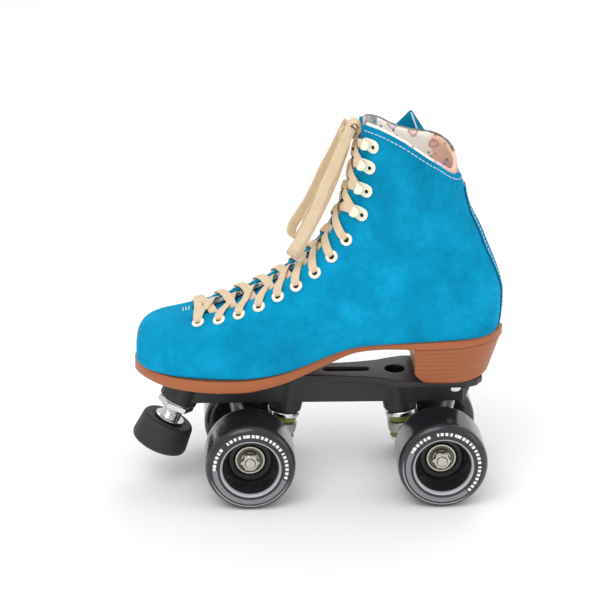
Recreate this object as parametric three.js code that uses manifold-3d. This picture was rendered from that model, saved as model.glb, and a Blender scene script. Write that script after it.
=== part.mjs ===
// Quad roller skate, one of a pair: the left skate. Millimetres, +Z up, toe towards -X.
// The origin is on the floor under the middle of the skate's bounding box. In the drawing
// frame used below, x = 0 is half-way between the axles and y = 0 is the skate's centre plane.
import * as THREE from 'three';
import { mergeVertices } from 'three/addons/utils/BufferGeometryUtils.js';
import Module from 'manifold-3d';

const wasm = await Module();
wasm.setup();

// ---------------------------------------------------------------- driving dimensions
const GAP = 0.3; // clearance left between touching pieces

// Wheels and bearings
const wheelDiameter = 65;
const wheelWidth = 40;
const wheelSides = 28; // a flat of the tread lies on the floor
const shoulder = 5; // rounded edge of the tread
const coreDiameter = 31; // outside of the hub that the tyre is cast on
const bearingDiameter = 22;
const bearingWidth = 7;
const bearingSpan = 24; // outer face to outer face of a wheel's two bearings
const axleDiameter = 8;
const axleNutAcrossFlats = 12.5;
const axleNutHeight = 5.5;
const axleStandsOut = 1.2; // end of the axle beyond the nut
const hubBore = 18.8; // between the two bearings
const lipDiameter = 42; // mouth of the cone in a wheel's outer face
const innerFaceDiameter = 48; // where a wheel's inner face starts to slope in to the hub

// Trucks
const wheelbase = 138.6;
const hangerWidth = 38.6; // between the inner bearings
const hangerBarrelDiameter = 17;
const ringInboard = 23.8; // hanger ring centre, inboard of the axle
const ringHeight = 42; // hanger ring centre above the floor
const ringDiameter = 23;
const ringThickness = 8;
const ringBore = 14;
const kingpinDiameter = 9.5;
const kingpinLength = 26; // above the ring's centre
const kingpinHeadDiameter = 15.2;
const kingpinHeadHeight = 5;
const kingpinTilt = 10; // degrees, foot of the kingpin towards the axle
const cushionDiameter = 21;
const upperCushionHeight = 7.5;
const lowerCushionHeight = 5.5;
const upperRetainerWall = 1.2; // of a retainer's rim
const lowerRetainerWall = 0.5;
const retainerThickness = 1.6;
const retainerLip = 2.6; // how far a retainer's rim stands down over its cushion
const pivotOutboard = 12.7; // pivot tip, outboard of the axle
const pivotHeight = 67; // pivot tip above the floor
const pivotBallDiameter = 9;
const pivotCupWall = 2.2;
const pivotTilt = 20; // degrees, the pivot's socket leans out from the axle

// Plate
const plateTop = 85;
const flangeThickness = 5;
const padHalfWidth = 26; // heel pad and sole pad of the plate
const waistHalfWidth = 11.5;
const webHalfWidth = 12;
const webBottom = 64;
const webEnds = [-117, 88];
const kingpinBossDiameter = 25;
const pivotBossWall = 3; // plate around the pivot cup
const webSlot = { x: 2, length: 34, width: 6.8 };
const flangeHole = { x: 38, diameter: 14.4 }; // between the sole pad and the heel pad
const boltHeadHeight = 4.5;
const boltDiameter = 5;
const boltHeadDiameter = 9;
const boltSpread = 18; // each mounting bolt's distance from the centre plane
const frontBoltX = -92;
const rearBoltX = 80;

// Toe stop
const stopBossDiameter = 28;
const stopTilt = 23.5; // degrees, foot of the stem towards the toe
const stopAxisX = -121; // where the stem leaves the plate's boss
const stopAxisZ = 63;
const stopStemDiameter = 15.9;
const stopTopDiameter = 38.5;
const stopFootDiameter = 42;
const stopRubberHeight = 22;
const stopStemShows = 17; // stem between the boss and the rubber
const jamNutAcrossFlats = 24;
const jamNutHeight = 7;
const stopStemTop = 13.6; // top of the stem above the foot of the boss, along its axis

// Boot. Profiles are drawn for a boot of the drawn sizes and stretched to the sizes below.
const bootLength = 266;
const ballWidth = 92; // sole at the ball of the foot
const bootHeight = 190; // front of the collar above the plate
const drawn = { length: 266, ballWidth: 92, height: 190 };
const suedeThickness = 2.4;
const liningThickness = 3;
const insoleThickness = 3;
const tongueThickness = 3.6;
const liningRise = 1.2; // lining stands above the suede at the collar
const tongueHalfWidth = 24;
const tongueRise = 1; // tongue above the front of the collar
const backstayHalfWidth = 7;
const trimThickness = 1.2;
const pullLoop = { x: 48, halfWidth: 11.5, thickness: 5, foot: 161, shoulder: 170, top: 184.5, tip: 1.5 };
const pullLoopSide = 31; // pull loop's inner face from the centre plane
const eyeletCount = 9;
const hookCount = 4;
const eyeletDiameter = 9;
const eyeletHole = 4.4;
const eyeletInset = 9; // eyelet centre from the throat edge
const laceWidth = 7;
const laceThickness = 1.6;
const laceStandOff = 1.9; // lacing above the suede at the throat's edges
const laceSink = 6; // how much lower it lies at the middle, on the tongue
const freeLaceSection = [2.2, 4.4]; // thickness and width of the folded free laces
const knot = { x: 4.2, z: 267.9, radii: [4.5, 8, 5.6] };
const knotClearance = 0.5; // between the knot and the free laces

// ---------------------------------------------------------------- helpers
const rad = THREE.MathUtils.degToRad;
const V = (x, y, z) => new THREE.Vector3(x, y, z);
const finishes = {
  suede: { color: '#009fcb', roughness: 0.9, metalness: 0 },
  suedeDark: { color: '#0087c3', roughness: 0.9, metalness: 0 },
  lining: { color: '#e9ddcb', roughness: 0.85, metalness: 0 },
  leather: { color: '#b5693f', roughness: 0.55, metalness: 0 },
  insole: { color: '#d8c7aa', roughness: 0.9, metalness: 0 },
  lace: { color: '#f0d5ae', roughness: 0.9, metalness: 0 },
  enamel: { color: '#f7f5e0', roughness: 0.35, metalness: 0 },
  plate: { color: '#232326', roughness: 0.5, metalness: 0 },
  stopRubber: { color: '#262629', roughness: 0.7, metalness: 0 },
  cushion: { color: '#5a6a2e', roughness: 0.4, metalness: 0 },
  casting: { color: '#a9a9a9', roughness: 0.45, metalness: 1 },
  chrome: { color: '#d5d9dc', roughness: 0.12, metalness: 1 },
  urethane: { color: '#222226', roughness: 0.25, metalness: 0 },
  core: { color: '#18181a', roughness: 0.4, metalness: 0 },
  bearing: { color: '#b9b5a0', roughness: 0.3, metalness: 1 },
  acetal: { color: '#d9d9d2', roughness: 0.5, metalness: 0 },
};

function asSolid(geometry) {
  const bare = geometry.clone();
  bare.deleteAttribute('normal');
  bare.deleteAttribute('uv');
  const merged = mergeVertices(bare, 1e-4);
  return new wasm.Manifold(new wasm.Mesh({
    numProp: 3,
    vertProperties: new Float32Array(merged.attributes.position.array),
    triVerts: new Uint32Array(merged.index.array),
  }));
}

function asGeometry(solid) {
  const mesh = solid.getMesh();
  const geometry = new THREE.BufferGeometry();
  geometry.setAttribute('position', new THREE.BufferAttribute(mesh.vertProperties, 3));
  geometry.setIndex(new THREE.BufferAttribute(mesh.triVerts, 1));
  return geometry;
}

function joined(...geometries) {
  return asGeometry(geometries.map(asSolid).reduce((whole, next) => whole.add(next)));
}

function cut(geometry, ...cutters) {
  return asGeometry(cutters.map(asSolid).reduce((left, next) => left.subtract(next), asSolid(geometry)));
}

function common(geometry, other) {
  return asGeometry(asSolid(geometry).intersect(asSolid(other)));
}

function part(name, geometry, finish) {
  const mesh = new THREE.Mesh(geometry, new THREE.MeshStandardMaterial(finishes[finish]));
  mesh.name = name;
  return mesh;
}

// A closed profile of [radius, height] points turned about +Z. Its flats, not its corners,
// have the stated radii. Points run so that the faces look outwards (up the outside).
function turned(profile, sides, phase = 0) {
  const grow = 1 / Math.cos(Math.PI / sides);
  const points = profile.map(([r, z]) => new THREE.Vector2(r * grow, z));
  return new THREE.LatheGeometry(points, sides, phase).rotateX(Math.PI / 2);
}

// A ring with a bore, or a solid cylinder when the bore is 0, from z0 to z1 on the Z axis.
function ring(outer, bore, z0, z1, sides) {
  const profile = bore > 0
    ? [[bore, z0], [outer, z0], [outer, z1], [bore, z1], [bore, z0]]
    : [[0, z0], [outer, z0], [outer, z1], [0, z1]];
  return turned(profile, sides);
}

// Skin over rings of points, all with the same count, with a flat fan closing each end.
function loft(rings) {
  const count = rings[0].length;
  const position = rings.flat().flatMap((p) => [p.x, p.y, p.z]);
  const index = [];
  const at = (i, j) => i * count + (j % count);
  for (let i = 0; i < rings.length - 1; i++) {
    for (let j = 0; j < count; j++) {
      index.push(at(i, j), at(i + 1, j), at(i, j + 1), at(i, j + 1), at(i + 1, j), at(i + 1, j + 1));
    }
  }
  const closeEnd = (i, flip) => {
    const middle = rings[i].reduce((sum, p) => sum.add(p), V(0, 0, 0)).divideScalar(count);
    const m = position.length / 3;
    position.push(middle.x, middle.y, middle.z);
    for (let j = 0; j < count; j++) {
      index.push(m, ...(flip ? [at(i, j + 1), at(i, j)] : [at(i, j), at(i, j + 1)]));
    }
  };
  closeEnd(0, false);
  closeEnd(rings.length - 1, true);
  const geometry = new THREE.BufferGeometry();
  geometry.setAttribute('position', new THREE.Float32BufferAttribute(position, 3));
  geometry.setIndex(index);
  return outward(geometry);
}

// Turns the faces round if they look inwards.
function outward(geometry) {
  const p = geometry.attributes.position;
  const index = geometry.index.array;
  const corner = [V(0, 0, 0), V(0, 0, 0), V(0, 0, 0)];
  let volume = 0;
  for (let i = 0; i < index.length; i += 3) {
    corner.forEach((c, k) => c.fromBufferAttribute(p, index[i + k]));
    volume += corner[0].dot(corner[1].clone().cross(corner[2]));
  }
  if (volume < 0) geometry.setIndex([...index].reverse());
  return geometry;
}

function box(x0, x1, y0, y1, z0, z1) {
  return new THREE.BoxGeometry(x1 - x0, y1 - y0, z1 - z0)
    .translate((x0 + x1) / 2, (y0 + y1) / 2, (z0 + z1) / 2);
}

// Smooth curve through [key, value, value, ...] rows, read at any key. It stays level where
// the rows are level or turn back, so it never bulges past them.
function smooth(rows) {
  return (key, column = 1) => {
    const last = rows.length - 1;
    let i = rows.findIndex((row) => row[0] > key) - 1;
    if (i < 0) i = key <= rows[0][0] ? 0 : last - 1;
    const t = THREE.MathUtils.clamp((key - rows[i][0]) / (rows[i + 1][0] - rows[i][0]), 0, 1);
    const slope = (k) => {
      const a = rows[Math.max(k - 1, 0)];
      const b = rows[Math.min(k + 1, last)];
      const here = rows[k][column];
      const level = k > 0 && k < last && (here - a[column]) * (b[column] - here) <= 0;
      return level ? 0 : (b[column] - a[column]) / (b[0] - a[0]);
    };
    const span = rows[i + 1][0] - rows[i][0];
    const [p, q] = [rows[i][column], rows[i + 1][column]];
    const [m, n] = [slope(i) * span, slope(i + 1) * span];
    return p + m * t + (3 * (q - p) - 2 * m - n) * t * t + (2 * (p - q) + m + n) * t * t * t;
  };
}

// ---------------------------------------------------------------- boot shape
const stretch = {
  x: bootLength / drawn.length,
  y: ballWidth / drawn.ballWidth,
  z: bootHeight / drawn.height,
};
const tall = (h) => plateTop + h * stretch.z; // height above the plate, stretched

// Sections of the boot, from the toe back and up the leg. Each row is: section number,
// instep or shin point (x, height), sole or back point (x, height), half width,
// fullness (2 is an ellipse), and how far the widest place sits towards the sole or back.
const sections = [
  [0, -151, 22, -151, 21, 0.2, 2.0, 0],
  [1, -149.3, 31, -151, 12, 15, 2.0, 0],
  [2, -144, 38.5, -148.5, 5, 25, 2.1, 0],
  [3, -133.5, 43.6, -141, -2, 33.5, 2.2, 0],
  [4, -113, 48, -118, -9, 41.5, 2.25, 0.02],
  [5, -87, 56, -90, -12, 44.5, 2.3, 0.05],
  [6, -59, 69.5, -50, -9, 41.5, 2.35, 0.1],
  [7, -35, 86, 0, 3, 37, 2.4, 0.16],
  [8, -21, 101, 55, 13, 35, 2.45, 0.22],
  [9, -12.5, 116, 104, 21, 33.5, 2.45, 0.25],
  [10, -6, 132, 113.2, 61, 32, 2.4, 0.2],
  [11, -1.5, 148, 100, 102, 31, 2.3, 0.12],
  [12, 2, 163, 88.2, 126, 31, 2.25, 0.1],
  [13, 5.5, 181, 82.5, 148, 31, 2.2, 0.1],
  [14, 8.5, 215, 78, 186, 31, 2.2, 0.1],
];
const lastSection = sections.length - 1;
const sectionAt = smooth(sections);
const toeShift = smooth([[-151, 4], [-110, 1.5], [-60, -2], [0, 0], [115, 0]]); // last is curved

// Underside and top of the sole along the boot, as heights above the plate.
const soleUnder = smooth([[-151, 2.6], [-120, GAP], [-75, GAP], [-47, 4], [-30, 9.5], [-12, 17],
  [5, 24], [22, 26.5], [46, 27], [115, 28]]);
const soleOver = smooth([[-151, 11.2], [-120, 9.2], [-75, 9.2], [-47, 12.5], [-30, 17.5], [-12, 24.6],
  [5, 30], [22, 31.6], [46, 32.4], [115, 34.6]]);
const soleStations = [-152, -150.5, -147, -142, -135, -126, -115, -103, -90, -75, -60, -46, -32, -18, -4,
  10, 25, 46, 62, 78, 90, 100, 108, 113.5, 116.5];
const featherZ = (x) => tall(soleOver(x / stretch.x)) + GAP;

// Point of the boot's skin: s runs along the sections, turn goes round one of them from the
// instep (0) by the right side to the sole or back (pi).
function skinPoint(s, turn) {
  const get = (column) => sectionAt(s, column);
  const front = V(get(1) * stretch.x, 0, tall(get(2)));
  const back = V(get(3) * stretch.x, 0, tall(get(4)));
  const half = front.clone().sub(back).divideScalar(2);
  const round = (v) => Math.sign(v) * Math.abs(v) ** (2 / get(6));
  const c = round(Math.cos(turn));
  const depth = c - get(7) * (1 - c * c);
  const point = front.clone().add(back).divideScalar(2).addScaledVector(half, depth);
  point.y = get(5) * stretch.y * round(Math.sin(turn)) + toeShift(point.x / stretch.x) * stretch.y;
  return point;
}

function skinNormal(s, turn) {
  const ds = 0.02;
  const dt = 0.03;
  const s0 = Math.max(s - ds, 0.05);
  const s1 = Math.min(s + ds, lastSection);
  const along = skinPoint(s1, turn).sub(skinPoint(s0, turn));
  const around = skinPoint(s, turn + dt).sub(skinPoint(s, turn - dt));
  return along.cross(around).normalize();
}

// Point at a depth below the skin; a negative depth stands outside it.
function bootPoint(s, turn, depth) {
  return skinPoint(s, turn).addScaledVector(skinNormal(s, turn), -depth);
}

// Everything below a floor that follows the top of the sole at a height above it.
function belowFloor(rise) {
  const reach = 80 * stretch.y;
  return loft([-190, ...soleStations, 150].map((u) => {
    const x = u * stretch.x;
    const top = featherZ(x) + rise;
    return [V(x, -reach, -60), V(x, reach, -60), V(x, reach, top), V(x, -reach, top)];
  }));
}

const aroundCount = 20;
const alongSteps = [0.12, 0.5, 1, 1.6, 2.3, 3, 4, 5, 6, 7, 7.7, 8.4, 9, 9.35, 9.7, 10.3, 11, 11.5, 12, 13,
  lastSection];

// Solid boot shape at a depth below the skin, standing on a floor above the sole.
function bootShape(depth, floorRise) {
  const whole = loft(alongSteps.map((s) => {
    const points = [];
    for (let j = 0; j < aroundCount; j++) {
      const turn = ((j + 0.5) / aroundCount) * 2 * Math.PI;
      points.push(bootPoint(s, turn, depth));
    }
    return points;
  }));
  return cut(whole, belowFloor(floorRise));
}

// Everything above the collar line, which falls to the back and is lower on the outer side.
const collarLine = smooth([[-60, 190], [7, 189.5], [20, 188], [34, 182.5], [46, 177], [60, 170],
  [73, 163.5], [88, 159], [130, 157]]);
const collarTilt = smooth([[-60, 0], [30, 0], [58, 0.13], [85, 0.2], [130, 0.2]]);

function collarZ(x, y, rise = 0) {
  const u = x / stretch.x;
  return tall(collarLine(u)) + collarTilt(u) * y + rise;
}

function aboveCollar(rise) {
  const reach = 70 * stretch.y;
  const ceiling = tall(260);
  const stations = [-60, 7, 14, 20, 27, 34, 46, 53, 60, 73, 81, 88, 130];
  return loft(stations.map((u) => {
    const x = u * stretch.x;
    return [V(x, -reach, collarZ(x, -reach, rise)), V(x, reach, collarZ(x, reach, rise)),
      V(x, reach, ceiling), V(x, -reach, ceiling)];
  }));
}

// The slit down the front that the tongue shows through, with the fasteners beside it.
const throatStart = 4.12; // section number where the slit ends on the toe
const fastenerReach = smooth([[4.1, 22.5], [4.86, 26], [5.4, 26.7], [6.3, 25], [7.4, 23], [9, 20.5],
  [11, 21.5], [lastSection, 21.5]]); // fasteners' distance from the middle of the instep
const throatHalf = (s) => {
  const opening = Math.min(1, 0.45 + (s - throatStart) * 2);
  return (fastenerReach(s) * stretch.y - eyeletInset) * opening;
};

function throatCutter() {
  const out = 25;
  const into = 13;
  const rings = [];
  for (let s = throatStart; s <= lastSection + 0.01; s += 0.4) {
    const at = Math.min(s, lastSection);
    const front = skinPoint(at, 0);
    const half = throatHalf(at);
    const normal = skinNormal(at, 0);
    const top = front.clone().addScaledVector(normal, out);
    const low = front.clone().addScaledVector(normal, -into);
    rings.push([V(top.x, top.y - half, top.z), V(top.x, top.y + half, top.z),
      V(low.x, low.y + half, low.z), V(low.x, low.y - half, low.z)]);
  }
  return loft(rings);
}

// Turn angle at which the skin is a given distance in y from the middle of the instep.
function turnAtWidth(s, width) {
  const middle = skinPoint(s, 0).y;
  let [low, high] = [0, Math.PI / 2];
  for (let i = 0; i < 30; i++) {
    const turn = (low + high) / 2;
    if (Math.abs(skinPoint(s, turn).y - middle) < Math.abs(width)) low = turn;
    else high = turn;
  }
  return Math.sign(width) * Math.sign(skinPoint(s, low).y - middle) * low;
}

// ---------------------------------------------------------------- boot parts
const depthOf = {
  lining: suedeThickness + GAP,
  cavity: suedeThickness + GAP + liningThickness,
};
depthOf.tongue = depthOf.cavity + 3 * GAP;

function upper() {
  const shell = cut(bootShape(0, 0), bootShape(suedeThickness, suedeThickness));
  return part('upper', cut(shell, aboveCollar(0), throatCutter()), 'suede');
}

function lining() {
  const shell = cut(bootShape(depthOf.lining, depthOf.lining), bootShape(depthOf.cavity, depthOf.cavity));
  return part('lining', cut(shell, aboveCollar(liningRise), throatCutter()), 'lining');
}

function insole() {
  const cavity = bootShape(depthOf.cavity + GAP, depthOf.cavity + GAP);
  const reach = 60 * stretch.y;
  const slab = loft([-190, ...soleStations, 150].map((u) => {
    const x = u * stretch.x;
    const top = featherZ(x) + depthOf.cavity + GAP + insoleThickness;
    return [V(x, -reach, 0), V(x, reach, 0), V(x, reach, top), V(x, -reach, top)];
  }));
  return part('insole', common(cavity, slab), 'insole');
}

// Heel block: lean is how far its back comes in towards the plate, round how far round its
// back is, and cutBack how far its breast stands behind the front edge at each height.
const heel = {
  breast: 48.5, back: 115.3, lean: 9, round: 34, halfWidth: 29.6, flare: 1.6, height: 30, corners: 13,
};
const heelCutBack = [[0, 13], [1.6, 7.5], [7, 1.6], [12, 1.2], [heel.height, 0]];

// Half widths of the sole's edge along the boot: outer (left) side, inner (right) side.
const soleEdge = smooth([[-152, -1, 8], [-150.5, -6.5, 13.5], [-147, -14, 20], [-142, -21, 26.5],
  [-135, -28.5, 33], [-126, -35, 38.5], [-115, -40.5, 42.5], [-103, -44.5, 44.5], [-90, -46.2, 45],
  [-75, -45.8, 43], [-60, -43, 39], [-46, -39.4, 34.6], [-32, -35.8, 30.6], [-18, -33, 28], [-4, -31.4, 27],
  [10, -30.8, 27.2], [25, -31, 28.4], [46, -32, 31], [62, -32.6, 32.2], [78, -31.4, 31.2], [90, -28, 28],
  [100, -22.6, 22.6], [108, -15.4, 15.4], [113.5, -7.8, 7.8], [116.5, -1.2, 1.2]]);

function outsole() {
  const bevel = 1;
  const rings = soleStations.map((u) => {
    const x = u * stretch.x;
    const [out, inn] = [soleEdge(u, 1) * stretch.y, soleEdge(u, 2) * stretch.y];
    const [low, high] = [tall(soleUnder(u)), featherZ(x) - GAP];
    return [V(x, out + bevel, low), V(x, inn - bevel, low), V(x, inn, low + bevel), V(x, inn, high),
      V(x, out, high), V(x, out, low + bevel)];
  });
  return part('outsole', loft(rings), 'leather');
}

function heelBlock() {
  const rings = heelCutBack.map(([h, cutBack]) => {
    const t = h / heel.height;
    const front = heel.breast * stretch.x + cutBack;
    const back = (heel.back - heel.lean * (1 - t)) * stretch.x;
    const half = (heel.halfWidth + heel.flare * t) * stretch.y;
    const z = plateTop + GAP + h * stretch.z;
    const points = [];
    for (let i = 0; i < heel.corners; i++) {
      const angle = Math.PI * (i / (heel.corners - 1) - 0.5);
      points.push(V(back - heel.round * stretch.x * (1 - Math.cos(angle)), half * Math.sin(angle), z));
    }
    points.push(V(front, half, z), V(front, -half, z));
    return points;
  });
  const [reach, rise] = [60 * stretch.y, 60];
  const heelStations = [25, ...soleStations.filter((u) => u > 40), 130];
  const underSole = loft(heelStations.map((u) => {
    const x = u * stretch.x;
    const low = tall(soleUnder(u)) - GAP;
    return [V(x, -reach, low), V(x, reach, low), V(x, reach, low + rise), V(x, -reach, low + rise)];
  }));
  return part('heel_block', cut(loft(rings), underSole), 'leather');
}

function tongue() {
  const turns = [-1, -0.5, 0, 0.5, 1];
  const rings = [];
  const top = collarZ(0, 0, tongueRise);
  for (let s = throatStart + 0.1; s <= lastSection; s += 0.3) {
    const wide = Math.min(tongueHalfWidth, throatHalf(s) + 9);
    const edge = turnAtWidth(s, wide);
    const row = (depth) => turns.map((t) => bootPoint(s, edge * t, depth));
    rings.push([...row(depthOf.tongue), ...row(depthOf.tongue + tongueThickness).reverse()]);
  }
  const lid = box(-200, 200, -80, 80, top, top + 100);
  return part('tongue', cut(loft(rings), lid), 'suede');
}

// Strip laid on the skin between two turns, along a list of sections.
function skinStrip(along, turnLow, turnHigh, standOff, thickness, across) {
  const rings = [];
  for (const s of along) {
    const row = (depth) => Array.from({ length: across + 1 }, (_, k) => {
      const turn = turnLow(s) + ((turnHigh(s) - turnLow(s)) * k) / across;
      return bootPoint(s, turn, depth);
    });
    rings.push([...row(-standOff), ...row(-standOff - thickness).reverse()]);
  }
  return loft(rings);
}

function backstay() {
  const turnFor = (side) => (s) => {
    const half = sectionAt(s, 5) * stretch.y;
    return Math.PI + side * Math.asin((backstayHalfWidth / half) ** (sectionAt(s, 6) / 2));
  };
  const along = alongSteps.filter((s) => s >= 9.35);
  const strip = skinStrip(along, turnFor(-1), turnFor(1), 2 * GAP, trimThickness, 4);
  const foot = box(60, 160, -40, 40, 0, featherZ(110) + 0.5);
  return part('backstay', cut(strip, aboveCollar(0), foot), 'suedeDark');
}

function pullStrap() {
  const { halfWidth, foot, shoulder, top, tip, thickness } = pullLoop;
  const corners = [[-halfWidth, foot], [halfWidth, foot], [halfWidth, shoulder], [tip, top], [-tip, top],
    [-halfWidth, shoulder]].map(([x, h]) => new THREE.Vector2(x, tall(h)));
  const side = pullLoopSide * stretch.y;
  const outline = new THREE.Shape(corners);
  const strap = new THREE.ExtrudeGeometry(outline, { depth: thickness, bevelEnabled: false })
    .rotateX(Math.PI / 2).translate(pullLoop.x * stretch.x, side + thickness, 0);
  return part('pull_loop', strap, 'suedeDark');
}

// Eyelet rows: section numbers of the eyelets and hooks up the throat.
const spread = (count, rows) => Array.from({ length: count },
  (_, i) => smooth(rows)((i * (rows.length - 1)) / (count - 1)));
const eyeletSections = spread(eyeletCount, [[0, 4.3], [1, 4.86], [2, 5.36], [3, 5.84], [4, 6.32],
  [5, 6.8], [6, 7.42], [7, 8.18], [8, 9.04]]);
const hookSections = spread(hookCount, [[0, 10.18], [1, 11.14], [2, 12.2], [3, 13]]);

// A small turned piece stood on the skin, with its axis along the skin's normal.
function onSkin(geometry, s, turn, standOff) {
  const seat = new THREE.Matrix4();
  const normal = skinNormal(s, turn);
  const spin = new THREE.Quaternion().setFromUnitVectors(V(0, 0, 1), normal);
  const where = bootPoint(s, turn, -standOff);
  seat.compose(where, spin, V(1, 1, 1));
  return geometry.applyMatrix4(seat);
}

const stayStandOff = 0.8;
const stayThickness = 0.9;
const fastenerStandOff = 1.1;
const eyeletHeight = 1.5;
const hookProfile = [[0, 0], [3, 0], [2.4, 2.4], [3.6, 4.4], [0, 5.4]];
const stayHalfWidth = 1.6;

function eyeletRow(name, side) {
  const inset = (s, extra) => turnAtWidth(s, side * (fastenerReach(s) * stretch.y + extra));
  const low = (s) => inset(s, -stayHalfWidth);
  const high = (s) => inset(s, stayHalfWidth);
  const [first, last, steps] = [eyeletSections[0] - 0.05, hookSections[hookCount - 1] + 0.05, 16];
  const along = Array.from({ length: steps + 1 }, (_, i) => first + ((last - first) * i) / steps);
  const stay = skinStrip(along, low, high, stayStandOff, stayThickness, 1);
  const eyelet = (s) => onSkin(ring(eyeletDiameter / 2, eyeletHole / 2, 0, eyeletHeight, 8), s, inset(s, 0),
    fastenerStandOff);
  const hook = (s) => onSkin(turned(hookProfile, 6), s, inset(s, 0), fastenerStandOff);
  return part(name, joined(stay, ...eyeletSections.map(eyelet), ...hookSections.map(hook)), 'enamel');
}

// One lace strip across the throat from one fastening to another on the other side.
function laceStrip(s0, s1, side) {
  const steps = 4;
  const rings = [];
  for (let i = 0; i <= steps; i++) {
    const t = i / steps;
    const s = s0 + (s1 - s0) * t;
    const reach = throatHalf(s) + 1.5;
    const y = side * reach * (1 - 2 * t);
    const clear = Math.min(1, (s - throatStart) / 0.6); // the lowest row stays up on the vamp
    const sink = laceSink * clear * (1 - Math.abs(1 - 2 * t)) - laceStandOff;
    const turn = Math.abs(y) < 0.01 ? 0 : turnAtWidth(s, y);
    const ahead = skinPoint(s + 0.02, turn).sub(skinPoint(s - 0.02, turn)).setY(0).normalize();
    const normal = skinNormal(s, turn);
    const at = bootPoint(s, turn, sink);
    const edge = ahead.multiplyScalar(laceWidth / 2);
    const lift = normal.multiplyScalar(laceThickness);
    rings.push([at.clone().sub(edge), at.clone().add(edge), at.clone().add(edge).add(lift),
      at.clone().sub(edge).add(lift)]);
  }
  return loft(rings);
}

function laceRows() {
  const stops = [...eyeletSections, ...hookSections];
  const strips = [laceStrip(stops[0], stops[0] + 0.001, 1)];
  for (let i = 0; i < stops.length - 1; i++) {
    strips.push(laceStrip(stops[i], stops[i + 1], 1), laceStrip(stops[i], stops[i + 1], -1));
  }
  return part('lace_rows', joined(...strips), 'lace');
}

function bowKnot() {
  const ball = new THREE.SphereGeometry(1, 12, 8).scale(...knot.radii);
  return part('bow_knot', ball.translate(knot.x, 0, knot.z), 'lace');
}

// Where a free lace leaves the knot: just off its surface, in a direction from its centre.
function knotExit(direction, off) {
  const d = V(...direction).normalize();
  const reach = 1 / Math.hypot(...d.toArray().map((v, k) => v / knot.radii[k]));
  return V(knot.x, 0, knot.z).addScaledVector(d, reach + off);
}

// Free lace: a flat tube that leaves the knot in one direction and runs along hand-placed
// points; a loop comes back to the knot from a second direction.
function lace(name, { leaves, points, returns }) {
  const comesBack = returns ? [knotExit(returns, 4), knotExit(returns, knotClearance)] : [];
  const stops = [knotExit(leaves, knotClearance), knotExit(leaves, 4), ...points.map((p) => V(...p)),
    ...comesBack];
  const route = new THREE.CatmullRomCurve3(stops, false, 'centripetal');
  const flat = new THREE.Shape();
  const sides = 8;
  for (let i = 0; i < sides; i++) {
    const angle = ((i + 0.5) / sides) * 2 * Math.PI;
    const x = (freeLaceSection[0] / 2) * Math.cos(angle);
    const y = (freeLaceSection[1] / 2) * Math.sin(angle);
    if (i === 0) flat.moveTo(x, y);
    else flat.lineTo(x, y);
  }
  const steps = Math.round(route.getLength() / 12);
  const tube = new THREE.ExtrudeGeometry(flat, { steps, extrudePath: route, bevelEnabled: false });
  return part(name, tube, 'lace');
}

// ---------------------------------------------------------------- plate
const truckX = wheelbase / 2;
const axleZ = wheelDiameter / 2;
const kingpinDown = V(Math.sin(rad(kingpinTilt)), 0, -Math.cos(rad(kingpinTilt)));

// A shape drawn on its own Z axis, tipped in the XZ plane and moved to (x, z).
function tipped(geometry, degrees, x, z) {
  return geometry.rotateY(rad(degrees)).translate(x, 0, z);
}

const ringTop = ringThickness / 2;
// Places along the kingpin, from the ring's centre.
const upperRetainerAt = ringTop + GAP + upperCushionHeight + GAP;
const bossFoot = upperRetainerAt + retainerThickness + GAP;
const bossTop = (plateTop - 2 - ringHeight) / Math.cos(rad(kingpinTilt)) - 2;

// Trucks are drawn with the axle at x = 0 and the kingpin inboard of it, at negative x. The
// rear truck stands as drawn; the front truck is the same turned round.
function inTruck(geometry, end) {
  if (end === 'drawn') return geometry;
  if (end === 'front') geometry.rotateZ(Math.PI);
  return geometry.translate(end === 'front' ? -truckX : truckX, 0, 0);
}

function onKingpin(geometry, end) {
  return inTruck(tipped(geometry, -kingpinTilt, -ringInboard, ringHeight), end);
}

function onPivot(geometry, end) {
  return inTruck(tipped(geometry, pivotTilt, pivotOutboard, pivotHeight), end);
}

function onStop(geometry) {
  return tipped(geometry, stopTilt, stopAxisX, stopAxisZ);
}

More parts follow.
